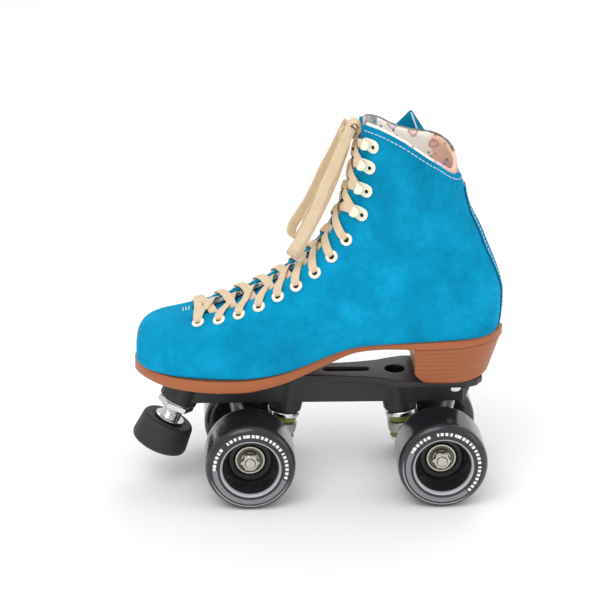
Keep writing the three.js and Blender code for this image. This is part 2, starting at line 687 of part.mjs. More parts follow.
function plate() {
  const edge = smooth([[-136, 9], [-130, 17], [-122, 22], [-110, padHalfWidth], [-75, padHalfWidth],
    [-52, 17], [-30, waistHalfWidth], [0, waistHalfWidth + 2], [25, 18], [46, padHalfWidth],
    [88, padHalfWidth], [96, 22], [101, 14]]);
  const flange = loft([-136, -130, -122, -110, -92, -75, -62, -52, -40, -30, -15, 0, 12, 25, 36, 46, 66, 88,
    96, 101].map((x) => {
    const y = edge(x);
    return [V(x, -y, plateTop - flangeThickness), V(x, y, plateTop - flangeThickness), V(x, y, plateTop),
      V(x, -y, plateTop)];
  }));
  const topOfWeb = plateTop - flangeThickness + 1;
  const web = box(webEnds[0], webEnds[1], -webHalfWidth, webHalfWidth, webBottom, topOfWeb);
  const pivotSocket = pivotBallDiameter / 2 + pivotCupWall + GAP;
  const ends = ['front', 'rear'];
  const boss = (end) => onKingpin(ring(kingpinBossDiameter / 2, 0, bossFoot, bossTop, 16), end);
  const kingpinBore = kingpinDiameter / 2 + GAP;
  const kingpinHole = (end) => onKingpin(ring(kingpinBore, 0, -10, kingpinLength + 1, 12), end);
  const pivotBoss = (end) => onPivot(ring(pivotSocket + pivotBossWall, 0, -3, 13, 12), end);
  const pivotHole = (end) => onPivot(ring(pivotSocket, 0, -12, 7.6, 12), end);
  const stopBoss = onStop(ring(stopBossDiameter / 2, 0, 0, 17, 16));
  const stemHole = onStop(ring(stopStemDiameter / 2 + GAP, 0, -5, 40, 16));
  const body = joined(flange, web, ...ends.map(boss), ...ends.map(pivotBoss), stopBoss);
  const lid = box(-200, 200, -60, 60, plateTop, plateTop + 60);
  const slot = new THREE.ExtrudeGeometry(slotShape(), { depth: 60, bevelEnabled: false })
    .translate(webSlot.x, 0, 50);
  const window = ring(flangeHole.diameter / 2, 0, 70, 110, 12).translate(flangeHole.x, 0, 0);
  const bolts = boltPlaces().map(([x, y]) => ring(boltDiameter / 2 + GAP, 0, 50, 110, 8).translate(x, y, 0));
  return part('plate', cut(body, lid, ...ends.map(kingpinHole), ...ends.map(pivotHole), stemHole, slot,
    window, ...bolts), 'plate');
}

function slotShape() {
  const shape = new THREE.Shape();
  const radius = webSlot.width / 2;
  const end = webSlot.length / 2 - radius;
  shape.absarc(end, 0, radius, -Math.PI / 2, Math.PI / 2, false);
  shape.absarc(-end, 0, radius, Math.PI / 2, Math.PI * 1.5, false);
  return shape;
}

function boltPlaces() {
  return [frontBoltX, rearBoltX].flatMap((x) => [[x, -boltSpread], [x, boltSpread]]);
}

function mountingBolt(name, x, y) {
  const top = plateTop - GAP;
  const under = plateTop - flangeThickness - GAP;
  const r = boltDiameter / 2;
  const head = boltHeadDiameter / 2;
  const foot = under - boltHeadHeight;
  const profile = [[0, foot], [head, foot], [head, under], [r, under], [r, top], [0, top]];
  return part(name, turned(profile, 8).translate(x, y, 0), 'chrome');
}

// ---------------------------------------------------------------- trucks
// Bridge from the hanger's ring to its barrel: x, height, half width, half thickness.
const bridgeRows = [[-ringInboard + 6, ringHeight + 0.9, 8, 2.6],
  [-ringInboard + 12, ringHeight + 1.6, 9, 3.2], [-ringInboard + 14.5, ringHeight - 0.6, 9.5, 4.8],
  [-6, axleZ + 3.5, 12, 7], [0, axleZ, 15, 8]];
// Arm from the barrel up to the pivot: x, height, half width, half thickness.
const neck = pivotBallDiameter / 2 - 0.8;
const armRows = [[1, axleZ + 4, 8, 6], [7, axleZ + 17, 5.5, 5],
  [pivotOutboard - 1.8, pivotHeight - 4.5, neck, neck], [pivotOutboard, pivotHeight, neck, neck]];
const armLean = V(0.86, 0, -0.5); // across the arm, in the XZ plane

function hanger(end) {
  const ringBody = ring(ringDiameter / 2, 0, -ringTop, ringTop, 16);
  const barrel = ring(hangerBarrelDiameter / 2, 0, -hangerWidth / 2, hangerWidth / 2, 14)
    .rotateX(Math.PI / 2).translate(0, 0, axleZ);
  const bridge = loft(bridgeRows.map(([x, z, halfY, halfZ]) => [V(x, -halfY, z - halfZ),
    V(x, halfY, z - halfZ), V(x, halfY, z + halfZ), V(x, -halfY, z + halfZ)]));
  const arm = loft(armRows.map(([x, z, halfY, halfX]) => {
    const corner = (a, b) => V(x + armLean.x * a, b, z + armLean.z * a);
    return [corner(-halfX, -halfY * 0.6), corner(-halfX, halfY * 0.6), corner(-halfX * 0.5, halfY),
      corner(halfX * 0.5, halfY), corner(halfX, halfY * 0.6), corner(halfX, -halfY * 0.6),
      corner(halfX * 0.5, -halfY), corner(-halfX * 0.5, -halfY)];
  }));
  const ball = new THREE.SphereGeometry(pivotBallDiameter / 2, 10, 8)
    .translate(pivotOutboard, 0, pivotHeight);
  const axleHole = ring(axleDiameter / 2 + GAP, 0, -40, 40, 12).rotateX(Math.PI / 2).translate(0, 0, axleZ);
  const rear = joined(onKingpin(ringBody, 'drawn'), barrel, bridge, arm, ball);
  const bore = onKingpin(ring(ringBore / 2, 0, -20, 20, 14), 'drawn');
  return part(`${end}_hanger`, inTruck(cut(rear, bore, axleHole), end), 'casting');
}

const bearingInner = hangerWidth / 2 + 0.6; // |y| of the inner bearing's inner face
const bearingOuter = bearingInner + bearingSpan;
const nutAt = bearingOuter + 2 * GAP;

function axle(end) {
  const half = nutAt + axleNutHeight + axleStandsOut;
  const rod = ring(axleDiameter / 2 - 0.15, 0, -half, half, 12).rotateX(Math.PI / 2).translate(0, 0, axleZ);
  return part(`${end}_axle`, inTruck(rod, end), 'bearing');
}

function kingpin(end) {
  const r = kingpinDiameter / 2;
  const head = kingpinHeadDiameter / 2;
  const headTop = -(ringTop + GAP + lowerCushionHeight + GAP + retainerThickness + GAP);
  const headFoot = headTop - kingpinHeadHeight;
  const profile = [[0, headFoot], [head, headFoot], [head, headTop], [r, headTop], [r, kingpinLength],
    [0, kingpinLength]];
  return part(`${end}_kingpin`, onKingpin(turned(profile, 12), end), 'chrome');
}

function cushion(end, place) {
  const low = place === 'upper' ? ringTop + GAP : -(ringTop + GAP + lowerCushionHeight);
  const high = place === 'upper' ? low + upperCushionHeight : -(ringTop + GAP);
  const radius = cushionDiameter / 2;
  const bore = kingpinDiameter / 2 + 2 * GAP;
  return part(`${end}_${place}_cushion`, onKingpin(ring(radius, bore, low, high, 16), end), 'cushion');
}

function retainer(end, place) {
  const inner = cushionDiameter / 2 + 2 * GAP;
  const r = inner + (place === 'upper' ? upperRetainerWall : lowerRetainerWall);
  const bore = kingpinDiameter / 2 + 2 * GAP;
  const t = retainerThickness;
  const face = place === 'upper' ? upperRetainerAt : -(ringTop + GAP + lowerCushionHeight + GAP);
  const way = place === 'upper' ? 1 : -1;
  const rows = [[bore, 0], [inner, 0], [inner, -retainerLip], [r, -retainerLip], [r, t], [bore, t],
    [bore, 0]].map(([radius, z]) => [radius, face + way * z]);
  if (way < 0) rows.reverse();
  return part(`${end}_${place}_retainer`, onKingpin(outward(turned(rows, 16)), end), 'chrome');
}

function pivotCup(end) {
  const inner = pivotBallDiameter / 2 + GAP;
  const outer = inner + pivotCupWall - GAP;
  const profile = [[0, inner + 0.2], [inner, inner * 0.8], [inner, -1], [outer, -1], [outer, 7], [0, 7]];
  return part(`${end}_pivot_cup`, onPivot(outward(turned(profile, 12)), end), 'acetal');
}

// ---------------------------------------------------------------- wheels
// Drawn on the Z axis with +Z outwards, z = 0 at the inner bearing's inner face.
function wheelParts(label) {
  const tread = wheelDiameter / 2;
  const core = coreDiameter / 2;
  const seat = bearingDiameter / 2 + GAP;
  const outside = wheelWidth + GAP;
  const lip = lipDiameter / 2;
  const web = hubBore / 2;
  const bearingFoot = bearingSpan - bearingWidth - GAP;
  const tyreProfile = [[core + GAP, 1.2], [innerFaceDiameter / 2, GAP], [tread - shoulder, GAP],
    [tread - 1.4, 1.9], [tread, shoulder + GAP], [tread, outside - shoulder], [tread - 1.4, outside - 1.9],
    [tread - shoulder, outside], [lip, outside], [core + GAP, bearingSpan + 0.5], [core + GAP, 1.2]];
  const hubProfile = [[seat, 1], [core, 1], [core, bearingSpan + 0.4], [seat + 1.2, bearingSpan + 0.4],
    [seat, bearingSpan - 0.8], [seat, bearingFoot], [web, bearingFoot],
    [web, bearingWidth + GAP], [seat, bearingWidth + GAP], [seat, 1]];
  const bore = axleDiameter / 2 + GAP;
  const r = bearingDiameter / 2 - 0.2;
  const bearing = (from) => ring(r, bore, from, from + bearingWidth, 16);
  const nutFoot = nutAt - bearingInner;
  const nut = ring(axleNutAcrossFlats / 2, bore, nutFoot, nutFoot + axleNutHeight, 6);
  const halfStep = Math.PI / wheelSides;
  return [
    [`${label}_tyre`, turned(tyreProfile, wheelSides, halfStep), 'urethane'],
    [`${label}_hub`, turned(hubProfile, 20), 'core'],
    [`${label}_inner_bearing`, bearing(0), 'bearing'],
    [`${label}_outer_bearing`, bearing(bearingSpan - bearingWidth), 'bearing'],
    [`${label}_axle_nut`, nut, 'bearing'],
  ];
}

// side is -1 for the left (outer) side of the boot and 1 for the right.
function wheel(end, side) {
  const label = `${end}_${side < 0 ? 'left' : 'right'}`;
  const group = new THREE.Group();
  group.position.set(end === 'front' ? -truckX : truckX, side * bearingInner, axleZ);
  group.rotation.x = (-side * Math.PI) / 2;
  wheelParts(label).forEach(([name, geometry, finish]) => group.add(part(name, outward(geometry), finish)));
  return group;
}

// ---------------------------------------------------------------- toe stop
// Drawn on the stem's axis, z = 0 where the stem leaves the plate's boss.
function toeStop() {
  const stem = stopStemDiameter / 2 - GAP;
  const top = stopTopDiameter / 2;
  const foot = stopFootDiameter / 2;
  const [flat, socket, washer] = [8.9, 9.2, 11]; // radii of the stem's foot, its recess, its washer
  const rubberTop = -stopStemShows;
  const low = rubberTop - stopRubberHeight;
  const sunk = rubberTop - 2.2;
  const washerTop = rubberTop + 1.8;
  const rubber = [[0, low], [foot - 3, low], [foot, low + 4], [top, rubberTop - 1], [top - 1, rubberTop],
    [socket, rubberTop], [socket, sunk - GAP], [0, sunk - GAP]];
  const screw = [[0, sunk], [flat, sunk], [flat, rubberTop + GAP], [washer, rubberTop + GAP],
    [washer, washerTop], [stem, washerTop], [stem, stopStemTop], [0, stopStemTop]];
  const nut = ring(jamNutAcrossFlats / 2, stopStemDiameter / 2 + GAP, -GAP - jamNutHeight, -GAP, 6);
  return [part('toe_stop_rubber', onStop(outward(turned(rubber, 20))), 'stopRubber'),
    part('toe_stop_stem', onStop(outward(turned(screw, 16))), 'chrome'),
    part('toe_stop_jam_nut', onStop(nut), 'chrome')];
}

// ---------------------------------------------------------------- assembly
const freeLaces = {
  bow_loop_left: {
    leaves: [-0.25, -0.95, 0.2],
    points: [[-4.5, -13, 257], [-9.5, -16.5, 246], [-16, -19.5, 233], [-21.5, -22, 219], [-28, -24, 204],
      [-34, -25.5, 194], [-38.5, -25.2, 187], [-40, -22, 181.8], [-38.2, -17.8, 179], [-35, -13.8, 179.8],
      [-32.5, -11.4, 184.5], [-28.5, -10.6, 193], [-22, -10, 206], [-15.5, -9.6, 220], [-10, -9.2, 234],
      [-5.5, -8.6, 247], [-2.4, -7.6, 257]],
    returns: [-0.5, -0.8, -0.3],
  },
  bow_loop_right: {
    leaves: [-0.25, 0.95, 0.2],
    points: [[-4.5, 13, 257], [-9, 16, 246], [-15, 19, 233], [-20.5, 21, 219], [-27, 23, 205],
      [-32.5, 24.5, 195.5], [-36.5, 24.2, 189], [-38, 21, 184], [-36.4, 17, 181.4], [-33.5, 13, 182.4],
      [-31, 10.8, 187], [-27, 10.2, 195], [-21.5, 9.8, 207], [-15, 9.4, 221], [-9.5, 9, 235],
      [-5, 8.4, 248], [-2, 7.4, 257.5]],
    returns: [-0.5, 0.8, -0.3],
  },
  lace_end_left: {
    leaves: [-0.6, -0.28, -0.75],
    points: [[-3.5, -3.8, 254.5], [-8, -4, 243], [-13, -4.2, 231], [-18, -4.4, 219], [-23.5, -4.6, 206],
      [-28, -4.8, 197.5], [-31, -5, 192.5]],
  },
  lace_end_right: {
    leaves: [-0.6, 0.28, -0.75],
    points: [[-3.5, 3.8, 255], [-7.5, 4, 244], [-12.5, 4.2, 232], [-17.5, 4.4, 220.5], [-22.5, 4.6, 209],
      [-26.5, 4.8, 201], [-28.5, 5, 197]],
  },
};
const skate = new THREE.Group();
skate.add(upper(), lining(), insole(), outsole(), heelBlock(), tongue(), backstay(), pullStrap());
skate.add(eyeletRow('eyelets_left', -1), eyeletRow('eyelets_right', 1), laceRows(), bowKnot());
skate.add(plate());
boltPlaces().forEach(([x, y], i) => skate.add(mountingBolt(`mounting_bolt_${i + 1}`, x, y)));
for (const end of ['front', 'rear']) {
  skate.add(hanger(end), axle(end), kingpin(end), pivotCup(end));
  for (const place of ['upper', 'lower']) skate.add(cushion(end, place), retainer(end, place));
  for (const side of [-1, 1]) skate.add(wheel(end, side));
}
toeStop().forEach((piece) => skate.add(piece));
const bounds = new THREE.Box3().setFromObject(skate);
skate.position.x = -(bounds.min.x + bounds.max.x) / 2;
for (const [name, route] of Object.entries(freeLaces)) skate.add(lace(name, route));

export default skate;
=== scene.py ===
import math
from functools import lru_cache

import bmesh
import bpy
from mathutils import Matrix, Vector


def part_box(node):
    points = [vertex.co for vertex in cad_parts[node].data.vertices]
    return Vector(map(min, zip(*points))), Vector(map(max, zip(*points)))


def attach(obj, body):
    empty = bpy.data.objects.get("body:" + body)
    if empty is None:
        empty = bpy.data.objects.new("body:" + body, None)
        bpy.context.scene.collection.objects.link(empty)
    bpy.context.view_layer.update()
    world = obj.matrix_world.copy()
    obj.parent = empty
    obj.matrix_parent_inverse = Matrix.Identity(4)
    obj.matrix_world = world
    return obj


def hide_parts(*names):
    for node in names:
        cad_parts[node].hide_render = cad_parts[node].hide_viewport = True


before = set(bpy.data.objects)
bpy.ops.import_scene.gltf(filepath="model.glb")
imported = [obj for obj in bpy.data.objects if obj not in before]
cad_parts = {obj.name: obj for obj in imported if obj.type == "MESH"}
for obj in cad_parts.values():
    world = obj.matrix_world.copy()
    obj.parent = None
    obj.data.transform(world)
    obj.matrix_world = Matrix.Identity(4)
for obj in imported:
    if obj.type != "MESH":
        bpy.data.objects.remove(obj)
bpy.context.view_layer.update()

bl_info = {
    "name": "Quad Skate Finish",
    "version": (1, 0, 0),
    "blender": (4, 5, 0),
    "location": "View3D > Sidebar > Skate",
    "description": "Makes the suede boot, laces, running gear and stage of a quad roller skate",
    "category": "Add Mesh",
}

# Lengths in this file are millimetres in the skate's drawing frame: x = 0 half-way between the
# axles, y = 0 on the skate's centre plane, z = 0 on the floor, toe towards -X. The function
# place() takes them to the frame's metres.
MM = 0.001


def box_middle(node):
    """Middle of a CAD node's box, in metres."""
    low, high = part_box(node)
    return (Vector(low) + Vector(high)) / 2


BETWEEN_AXLES = (box_middle("front_axle").x + box_middle("rear_axle").x) / 2
TRUCK_X = (box_middle("rear_axle").x - box_middle("front_axle").x) / 2 / MM
AXLE_Z = box_middle("front_axle").z / MM
PLATE_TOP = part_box("plate")[1][2] / MM
GAP = 0.3  # clearance between touching CAD pieces


def place(point):
    """A point of the drawing frame in the frame's metres."""
    return Vector((BETWEEN_AXLES + point[0] * MM, point[1] * MM, point[2] * MM))


# ---------------------------------------------------------------- meshes
BOOT_BODY = "boot_and_plate"
WELD, SLIVER = 0.005, 0.002  # points nearer than these are joined, or their face is taken out


def steps(start, span, count):
    """Even steps over a span, with both its ends."""
    return [start + span * i / (count - 1) for i in range(count)]


def linked(name, data):
    """An object in the scene for a mesh, camera or light."""
    made = bpy.data.objects.new(name, data)
    bpy.context.scene.collection.objects.link(made)
    return made


def piece(name, shape, look, stands_for=(), body=BOOT_BODY, angle=35, at=None):
    """One object from a (points, faces, local) shape in the drawing frame, riding on a body.

    look is one key of finishes() or several. at moves the shape into place, and the shape then
    keeps its own coordinates for patterns.
    """
    points, faces, local = (*shape, None)[:3]
    if at is not None:
        points, local = [at @ p for p in points], points
    mesh = bpy.data.meshes.new(name)
    mesh.from_pydata([place(p) for p in points], [], faces)
    if local:
        layer = mesh.attributes.new("local", "FLOAT_VECTOR", "POINT")
        layer.data.foreach_set("vector", [v * MM for p in local for v in p])
    work = bmesh.new()
    work.from_mesh(mesh)
    bmesh.ops.remove_doubles(work, verts=work.verts, dist=WELD * MM)
    bmesh.ops.dissolve_degenerate(work, edges=work.edges, dist=SLIVER * MM)
    bmesh.ops.recalc_face_normals(work, faces=work.faces)
    work.to_mesh(mesh)
    work.free()
    mesh.shade_smooth()
    mesh.set_sharp_from_angle(angle=math.radians(angle))
    made = linked(name, mesh)
    for key in [look] if isinstance(look, str) else look:
        mesh.materials.append(finishes()[key])
    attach(made, body)
    if stands_for:
        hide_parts(*stands_for)
    return made


def grid_faces(rows, columns, start=0, wrap=False):
    """Quads over rows of points; wrap closes each row on itself."""
    faces = []
    for i in range(rows - 1):
        for j in range(columns if wrap else columns - 1):
            k = (j + 1) % columns
            a, b = start + i * columns, start + (i + 1) * columns
            faces.append((a + j, a + k, b + k, b + j))
    return faces


def tube(rings):
    """Closed skin over rings of points, with a face over each end."""
    rows, columns = len(rings), len(rings[0])
    faces = grid_faces(rows, columns, wrap=True)
    faces.append(tuple(range(columns)))
    faces.append(tuple((rows - 1) * columns + j for j in reversed(range(columns))))
    return [p for ring in rings for p in ring], faces


def bowed(value, power):
    """A sine or cosine pushed towards a squarer outline by a power under 1."""
    return math.copysign(abs(value) ** power, value)


def turns(count):
    """Cosine and sine at even steps round a circle, starting half a step in."""
    angles = [2 * math.pi * (j + 0.5) / count for j in range(count)]
    return [(math.cos(angle), math.sin(angle)) for angle in angles]


def softened(profile, radius):
    """An outline with each inner corner eased by a small arc."""
    out = [profile[0]]
    for a, p, b in zip(profile, profile[1:], profile[2:]):
        before, after = Vector(a) - Vector(p), Vector(b) - Vector(p)
        reach = min(radius, 0.45 * before.length, 0.45 * after.length)
        if reach < 0.01:
            out.append(p)
            continue
        start = Vector(p) + before.normalized() * reach
        end = Vector(p) + after.normalized() * reach
        for i in range(4):
            t = i / 3
            mid = start.lerp(Vector(p), t).lerp(Vector(p).lerp(end, t), t)
            out.append((mid.x, mid.y))
    out.append(profile[-1])
    return out


def lathe(profile, sides=64, ease=0.5):
    """Points and faces of a profile of (radius, height) turned about Z."""
    outline = softened([tuple(map(float, p)) for p in profile], ease)
    points = []
    for radius, height in outline:
        for j in range(sides):
            angle = 2 * math.pi * j / sides
            points.append(Vector((radius * math.cos(angle), radius * math.sin(angle), height)))
    return points, grid_faces(len(outline), sides, wrap=True)


def washer(inner, outer, low, high, sides, ease):
    """A ring with a plain rectangular section."""
    return lathe([(inner, low), (outer, low), (outer, high), (inner, high), (inner, low)],
                 sides, ease)


def disc(radius, low, high, sides, ease):
    """A plain round disc or shank."""
    return lathe([(0, low), (radius, low), (radius, high), (0, high)], sides, ease)


def prism(corners, radius, low, high, bore, ease):
    """A nut: a flat-sided block with its corners eased at both ends."""
    outer, sides = radius / math.cos(math.pi / corners), corners * 6
    points = []
    for r, z in ((bore, low), (radius - ease, low), (outer, low + ease), (outer, high - ease),
                 (radius - ease, high), (bore, high)):
        for j in range(sides):
            angle = 2 * math.pi * j / sides
            flat = radius / math.cos((angle % (2 * math.pi / corners)) - math.pi / corners)
            reach = r if r <= radius - ease else min(flat, r)
            points.append(Vector((reach * math.cos(angle), reach * math.sin(angle), z)))
    return points, grid_faces(6, sides, wrap=True)


def moved(matrix, shape):
    """The points and faces of a shape taken into place."""
    return [matrix @ p for p in shape[0]], shape[1]


def through(points, step=1.2):
    """A smooth curve through points, resampled about every step."""
    ps = [Vector(p) for p in points]
    ps = [2 * ps[0] - ps[1]] + ps + [2 * ps[-1] - ps[-2]]
    out = []
    for a, b, c, d in zip(ps, ps[1:], ps[2:], ps[3:]):
        ta = math.sqrt((b - a).length)
        tb = math.sqrt((c - b).length)
        tc = math.sqrt((d - c).length)
        m = (b - a) / ta - (c - a) / (ta + tb) + (c - b) / tb
        n = (c - b) / tb - (d - b) / (tb + tc) + (d - c) / tc
        m, n = m * tb, n * tb
        count = max(2, round((c - b).length / step))
        for i in range(count):
            t = i / count
            out.append(b + m * t + (3 * (c - b) - 2 * m - n) * t ** 2
                       + (2 * (b - c) + m + n) * t ** 3)
    out.append(ps[-2])
    return out


def ribbon(path, wide, width, thickness, taper=0.0):
    """A flat lace along a path. wide is the direction of its width, or gives it at point i."""
    rings, local, run = [], [], 0.0
    for i, p in enumerate(path):
        ahead = (path[min(i + 1, len(path) - 1)] - path[max(i - 1, 0)]).normalized()
        towards = wide(i) if callable(wide) else wide
        across = towards - ahead * towards.dot(ahead)
        across.normalize()
        lift = ahead.cross(across)
        if i:
            run += (p - path[i - 1]).length
        end = min(i, len(path) - 1 - i) / 3
        size = 1 - taper * max(0.0, 1 - end)
        ring = []
        for c, s in turns(12):
            a = bowed(c, 0.45) * width / 2 * size
            b = bowed(s, 0.8) * thickness / 2
            ring.append(p + across * a + lift * b)
            local.append((run, a, b))
        rings.append(ring)
    return (*tube(rings), local)


def gathered(parts):
    """Several (points, faces, local) shapes as one."""
    points, faces, local = [], [], []
    for shape in parts:
        start = len(points)
        points += shape[0]
        faces += [tuple(start + k for k in face) for face in shape[1]]
        local += shape[2] if len(shape) > 2 else [tuple(p) for p in shape[0]]
    return points, faces, local


def smooth(rows):
    """Smooth curve through (key, value, ...) rows, level where the rows are level or turn back."""
    last = len(rows) - 1

    def value(key, column=1):
        i = next((k for k, row in enumerate(rows) if row[0] > key), 0) - 1
        if i < 0:
            i = 0 if key <= rows[0][0] else last - 1
        span = rows[i + 1][0] - rows[i][0]
        t = min(max((key - rows[i][0]) / span, 0.0), 1.0)

        def slope(k):
            a, here, b = rows[max(k - 1, 0)], rows[k][column], rows[min(k + 1, last)]
            if 0 < k < last and (here - a[column]) * (b[column] - here) <= 0:
                return 0.0
            return (b[column] - a[column]) / (b[0] - a[0])

        p, q = rows[i][column], rows[i + 1][column]
        m, n = slope(i) * span, slope(i + 1) * span
        return p + m * t + (3 * (q - p) - 2 * m - n) * t * t + (2 * (p - q) + m + n) * t ** 3

    return value


# ---------------------------------------------------------------- boot shape
# The same design tables and formulas as the CAD boot: section number, instep or shin point
# (x, height above the plate), sole or back point, half width, fullness, skew.
SECTIONS = [
    (0, -151, 22, -151, 21, 0.2, 2.0, 0),
    (1, -149.3, 31, -151, 12, 15, 2.0, 0),
    (2, -144, 38.5, -148.5, 5, 25, 2.1, 0),
    (3, -133.5, 43.6, -141, -2, 33.5, 2.2, 0),
    (4, -113, 48, -118, -9, 41.5, 2.25, 0.02),
    (5, -87, 56, -90, -12, 44.5, 2.3, 0.05),
    (6, -59, 69.5, -50, -9, 41.5, 2.35, 0.1),
    (7, -35, 86, 0, 3, 37, 2.4, 0.16),
    (8, -21, 101, 55, 13, 35, 2.45, 0.22),
    (9, -12.5, 116, 104, 21, 33.5, 2.45, 0.25),
    (10, -6, 132, 113.2, 61, 32, 2.4, 0.2),
    (11, -1.5, 148, 100, 102, 31, 2.3, 0.12),
    (12, 2, 163, 88.2, 126, 31, 2.25, 0.1),
    (13, 5.5, 181, 82.5, 148, 31, 2.2, 0.1),
    (14, 8.5, 215, 78, 186, 31, 2.2, 0.1),
]
LAST = SECTIONS[-1][0]
COLLAR_FOOT = 11.5  # a section that lies just below the lowest place of the collar
section_at = smooth(SECTIONS)
toe_shift = smooth([(-151, 4), (-110, 1.5), (-60, -2), (0, 0), (115, 0)])
sole_under = smooth([(-151, 2.6), (-120, GAP), (-75, GAP), (-47, 4), (-30, 9.5), (-12, 17), (5, 24),
                     (22, 26.5), (46, 27), (115, 28)])
sole_over = smooth([(-151, 11.2), (-120, 9.2), (-75, 9.2), (-47, 12.5), (-30, 17.5), (-12, 24.6),
                    (5, 30), (22, 31.6), (46, 32.4), (115, 34.6)])
collar_line = smooth([(-60, 190), (7, 189.5), (20, 188), (34, 182.5), (46, 177), (60, 170),
                      (73, 163.5), (88, 159), (130, 157)])
collar_tilt = smooth([(-60, 0), (30, 0), (58, 0.13), (85, 0.2), (130, 0.2)])
THROAT_START = 4.12
EYELET_INSET = 9
fastener_reach = smooth([(4.1, 22.5), (4.86, 26), (5.4, 26.7), (6.3, 25), (7.4, 23), (9, 20.5),
                         (11, 21.5), (LAST, 21.5)])
EYELETS = [4.3, 4.86, 5.36, 5.84, 6.32, 6.8, 7.42, 8.18, 9.04]
HOOKS = [10.18, 11.14, 12.2, 13]
SUEDE, LINING, CAVITY, TONGUE = 2.4, 2.7, 5.7, 6.6  # depths below the skin of each layer's face


@lru_cache(None)
def section(s):
    return tuple(section_at(s, column) for column in range(1, 8))


def skin_point(s, turn):
    """Point of the boot's skin: turn is 0 at the instep or shin and pi at the sole or back."""
    front_x, front_h, back_x, back_h, half, full, skew = section(s)
    c, d = bowed(math.cos(turn), 2 / full), bowed(math.sin(turn), 2 / full)
    depth = c - skew * (1 - c * c)
    x = (front_x + back_x) / 2 + (front_x - back_x) / 2 * depth
    h = (front_h + back_h) / 2 + (front_h - back_h) / 2 * depth
    return Vector((x, half * d + toe_shift(x), PLATE_TOP + h))


def skin_normal(s, turn):
    """Outward normal of the skin; the toe's tip takes the one a little behind it."""
    s = max(s, 0.1)
    along = skin_point(min(s + 0.02, LAST), turn) - skin_point(max(s - 0.02, 0.05), turn)
    around = skin_point(s, turn + 0.03) - skin_point(s, turn - 0.03)
    return along.cross(around).normalized()


def boot_point(s, turn, depth):
    """Point at a depth below the skin; a negative depth stands outside it."""
    return skin_point(s, turn) - skin_normal(s, turn) * depth


def bisect(low, high, too_far):
    for _ in range(26):
        mid = (low + high) / 2
        if too_far(mid):
            high = mid
        else:
            low = mid
    return low


def turn_at_width(s, width):
    """Turn at which the skin is a given distance in y from the middle of the instep."""
    middle = skin_point(s, 0).y
    turn = bisect(0, math.pi / 2, lambda t: abs(skin_point(s, t).y - middle) >= abs(width))
    return math.copysign(turn, width)


def throat_half(s):
    """Half width of the slit, which starts with a round end."""
    full = fastener_reach(s) - EYELET_INSET
    return full * math.sqrt(min(1.0, max(0.0, (s - THROAT_START) / 0.35)))


@lru_cache(None)
def front_turn(s, side):
    """Where the upper starts: the middle of the toe cap, then the edge of the throat."""
    if s <= THROAT_START:
        return 0.0
    return turn_at_width(s, side * throat_half(s))


@lru_cache(None)
def foot_turn(s, side):
    """Where the upper ends: on the top of the sole, then the middle of the back."""
    def above(turn):
        p = skin_point(s, side * turn)
        return p.z > PLATE_TOP + sole_over(p.x)
    if above(math.pi - 1e-4):
        return side * math.pi
    return side * bisect(math.pi / 2, math.pi, lambda t: not above(t))


far_collar = smooth([(-60, -3), (0, -3), (20, -3.6), (37, -5.5), (50, -5), (62, -1), (75, 3), (86, 7),
                     (130, 7)])
near_collar = smooth([(-60, 0), (60, 0), (74, -3), (84, -6), (130, -6)])


def smooth_step(t):
    t = min(1.0, max(0.0, t))
    return t * t * (3 - 2 * t)


def collar_z(x, y):
    """Height of the collar's edge, which is lower or higher than its line on each side."""
    drop = far_collar(x) * smooth_step(y / 28) + near_collar(x) * smooth_step(-y / 20)
    return PLATE_TOP + collar_line(x) + collar_tilt(x) * y + drop


def top_section(turn_of, rise=0.0, depth=0.0):
    """Section number at which a column reaches the collar."""
    def over(s):
        p = boot_point(s, turn_of(s), depth)
        return p.z > collar_z(p.x, p.y) + rise
    return bisect(COLLAR_FOOT, LAST, over)


def column_turn(side, v, back_of=lambda s, side: side * math.pi):
    """Turn at a section, v of the way from the upper's front edge to its back."""
    def turn_of(s):
        front = front_turn(s, side)
        return front + (back_of(s, side) - front) * v
    return turn_of


BACK_DIP = 18  # how much lower the suede's edge is than the lining's at the middle of the back
SIDE_DIP = 4.5  # the part of that dip which the far side has already at the ankle


def suede_edge(v, side=-1):
    """The suede's edge against the collar line, from the front (0) to the back (1)."""
    if side > 0:
        return (-SIDE_DIP * smooth_step((v - 0.25) / 0.2)
                - (BACK_DIP - SIDE_DIP) * smooth_step((v - 0.66) / 0.34))
    return -BACK_DIP * smooth_step((v - 0.84) / 0.16)


def boot_sheet(depth, rise_of, tuck=1.3):
    """Both sides of a boot layer as one sheet, tucked in by tuck where it meets the sole."""
    columns, toe_rows, slit_rows, body_rows, top_rows, slit = 44, 44, 12, 88, 20, 0.4
    low = [THROAT_START * (i / toe_rows) ** 1.35 for i in range(toe_rows)]
    low += [THROAT_START + slit * (i / slit_rows) ** 2 for i in range(slit_rows)]
    low += [THROAT_START + slit + (COLLAR_FOOT - THROAT_START - slit) * i / body_rows
            for i in range(body_rows + 1)]
    points, faces = [], []
    for side in (-1, 1):
        start, sheet = len(points), []
        for v in [j / columns for j in range(columns + 1)]:
            turn_of = column_turn(side, v, foot_turn)
            top = top_section(turn_of, rise_of(v, side), depth)
            column = []
            for s in low + [COLLAR_FOOT + (top - COLLAR_FOOT) * k / top_rows
                            for k in range(1, top_rows + 1)]:
                turn = turn_of(s)
                at_sole = max(abs(turn), abs(foot_turn(s, side))) < math.pi - 0.001
                pull = tuck * max(0.0, (v - 0.93) / 0.07) ** 2 if at_sole else 0.0
                column.append(boot_point(max(s, 0.02), turn, depth + pull))
            sheet.append(column)
        rows = len(sheet[0])
        points += [sheet[j][i] for i in range(rows) for j in range(columns + 1)]
        faces += grid_faces(rows, columns + 1, start)
    return points, faces


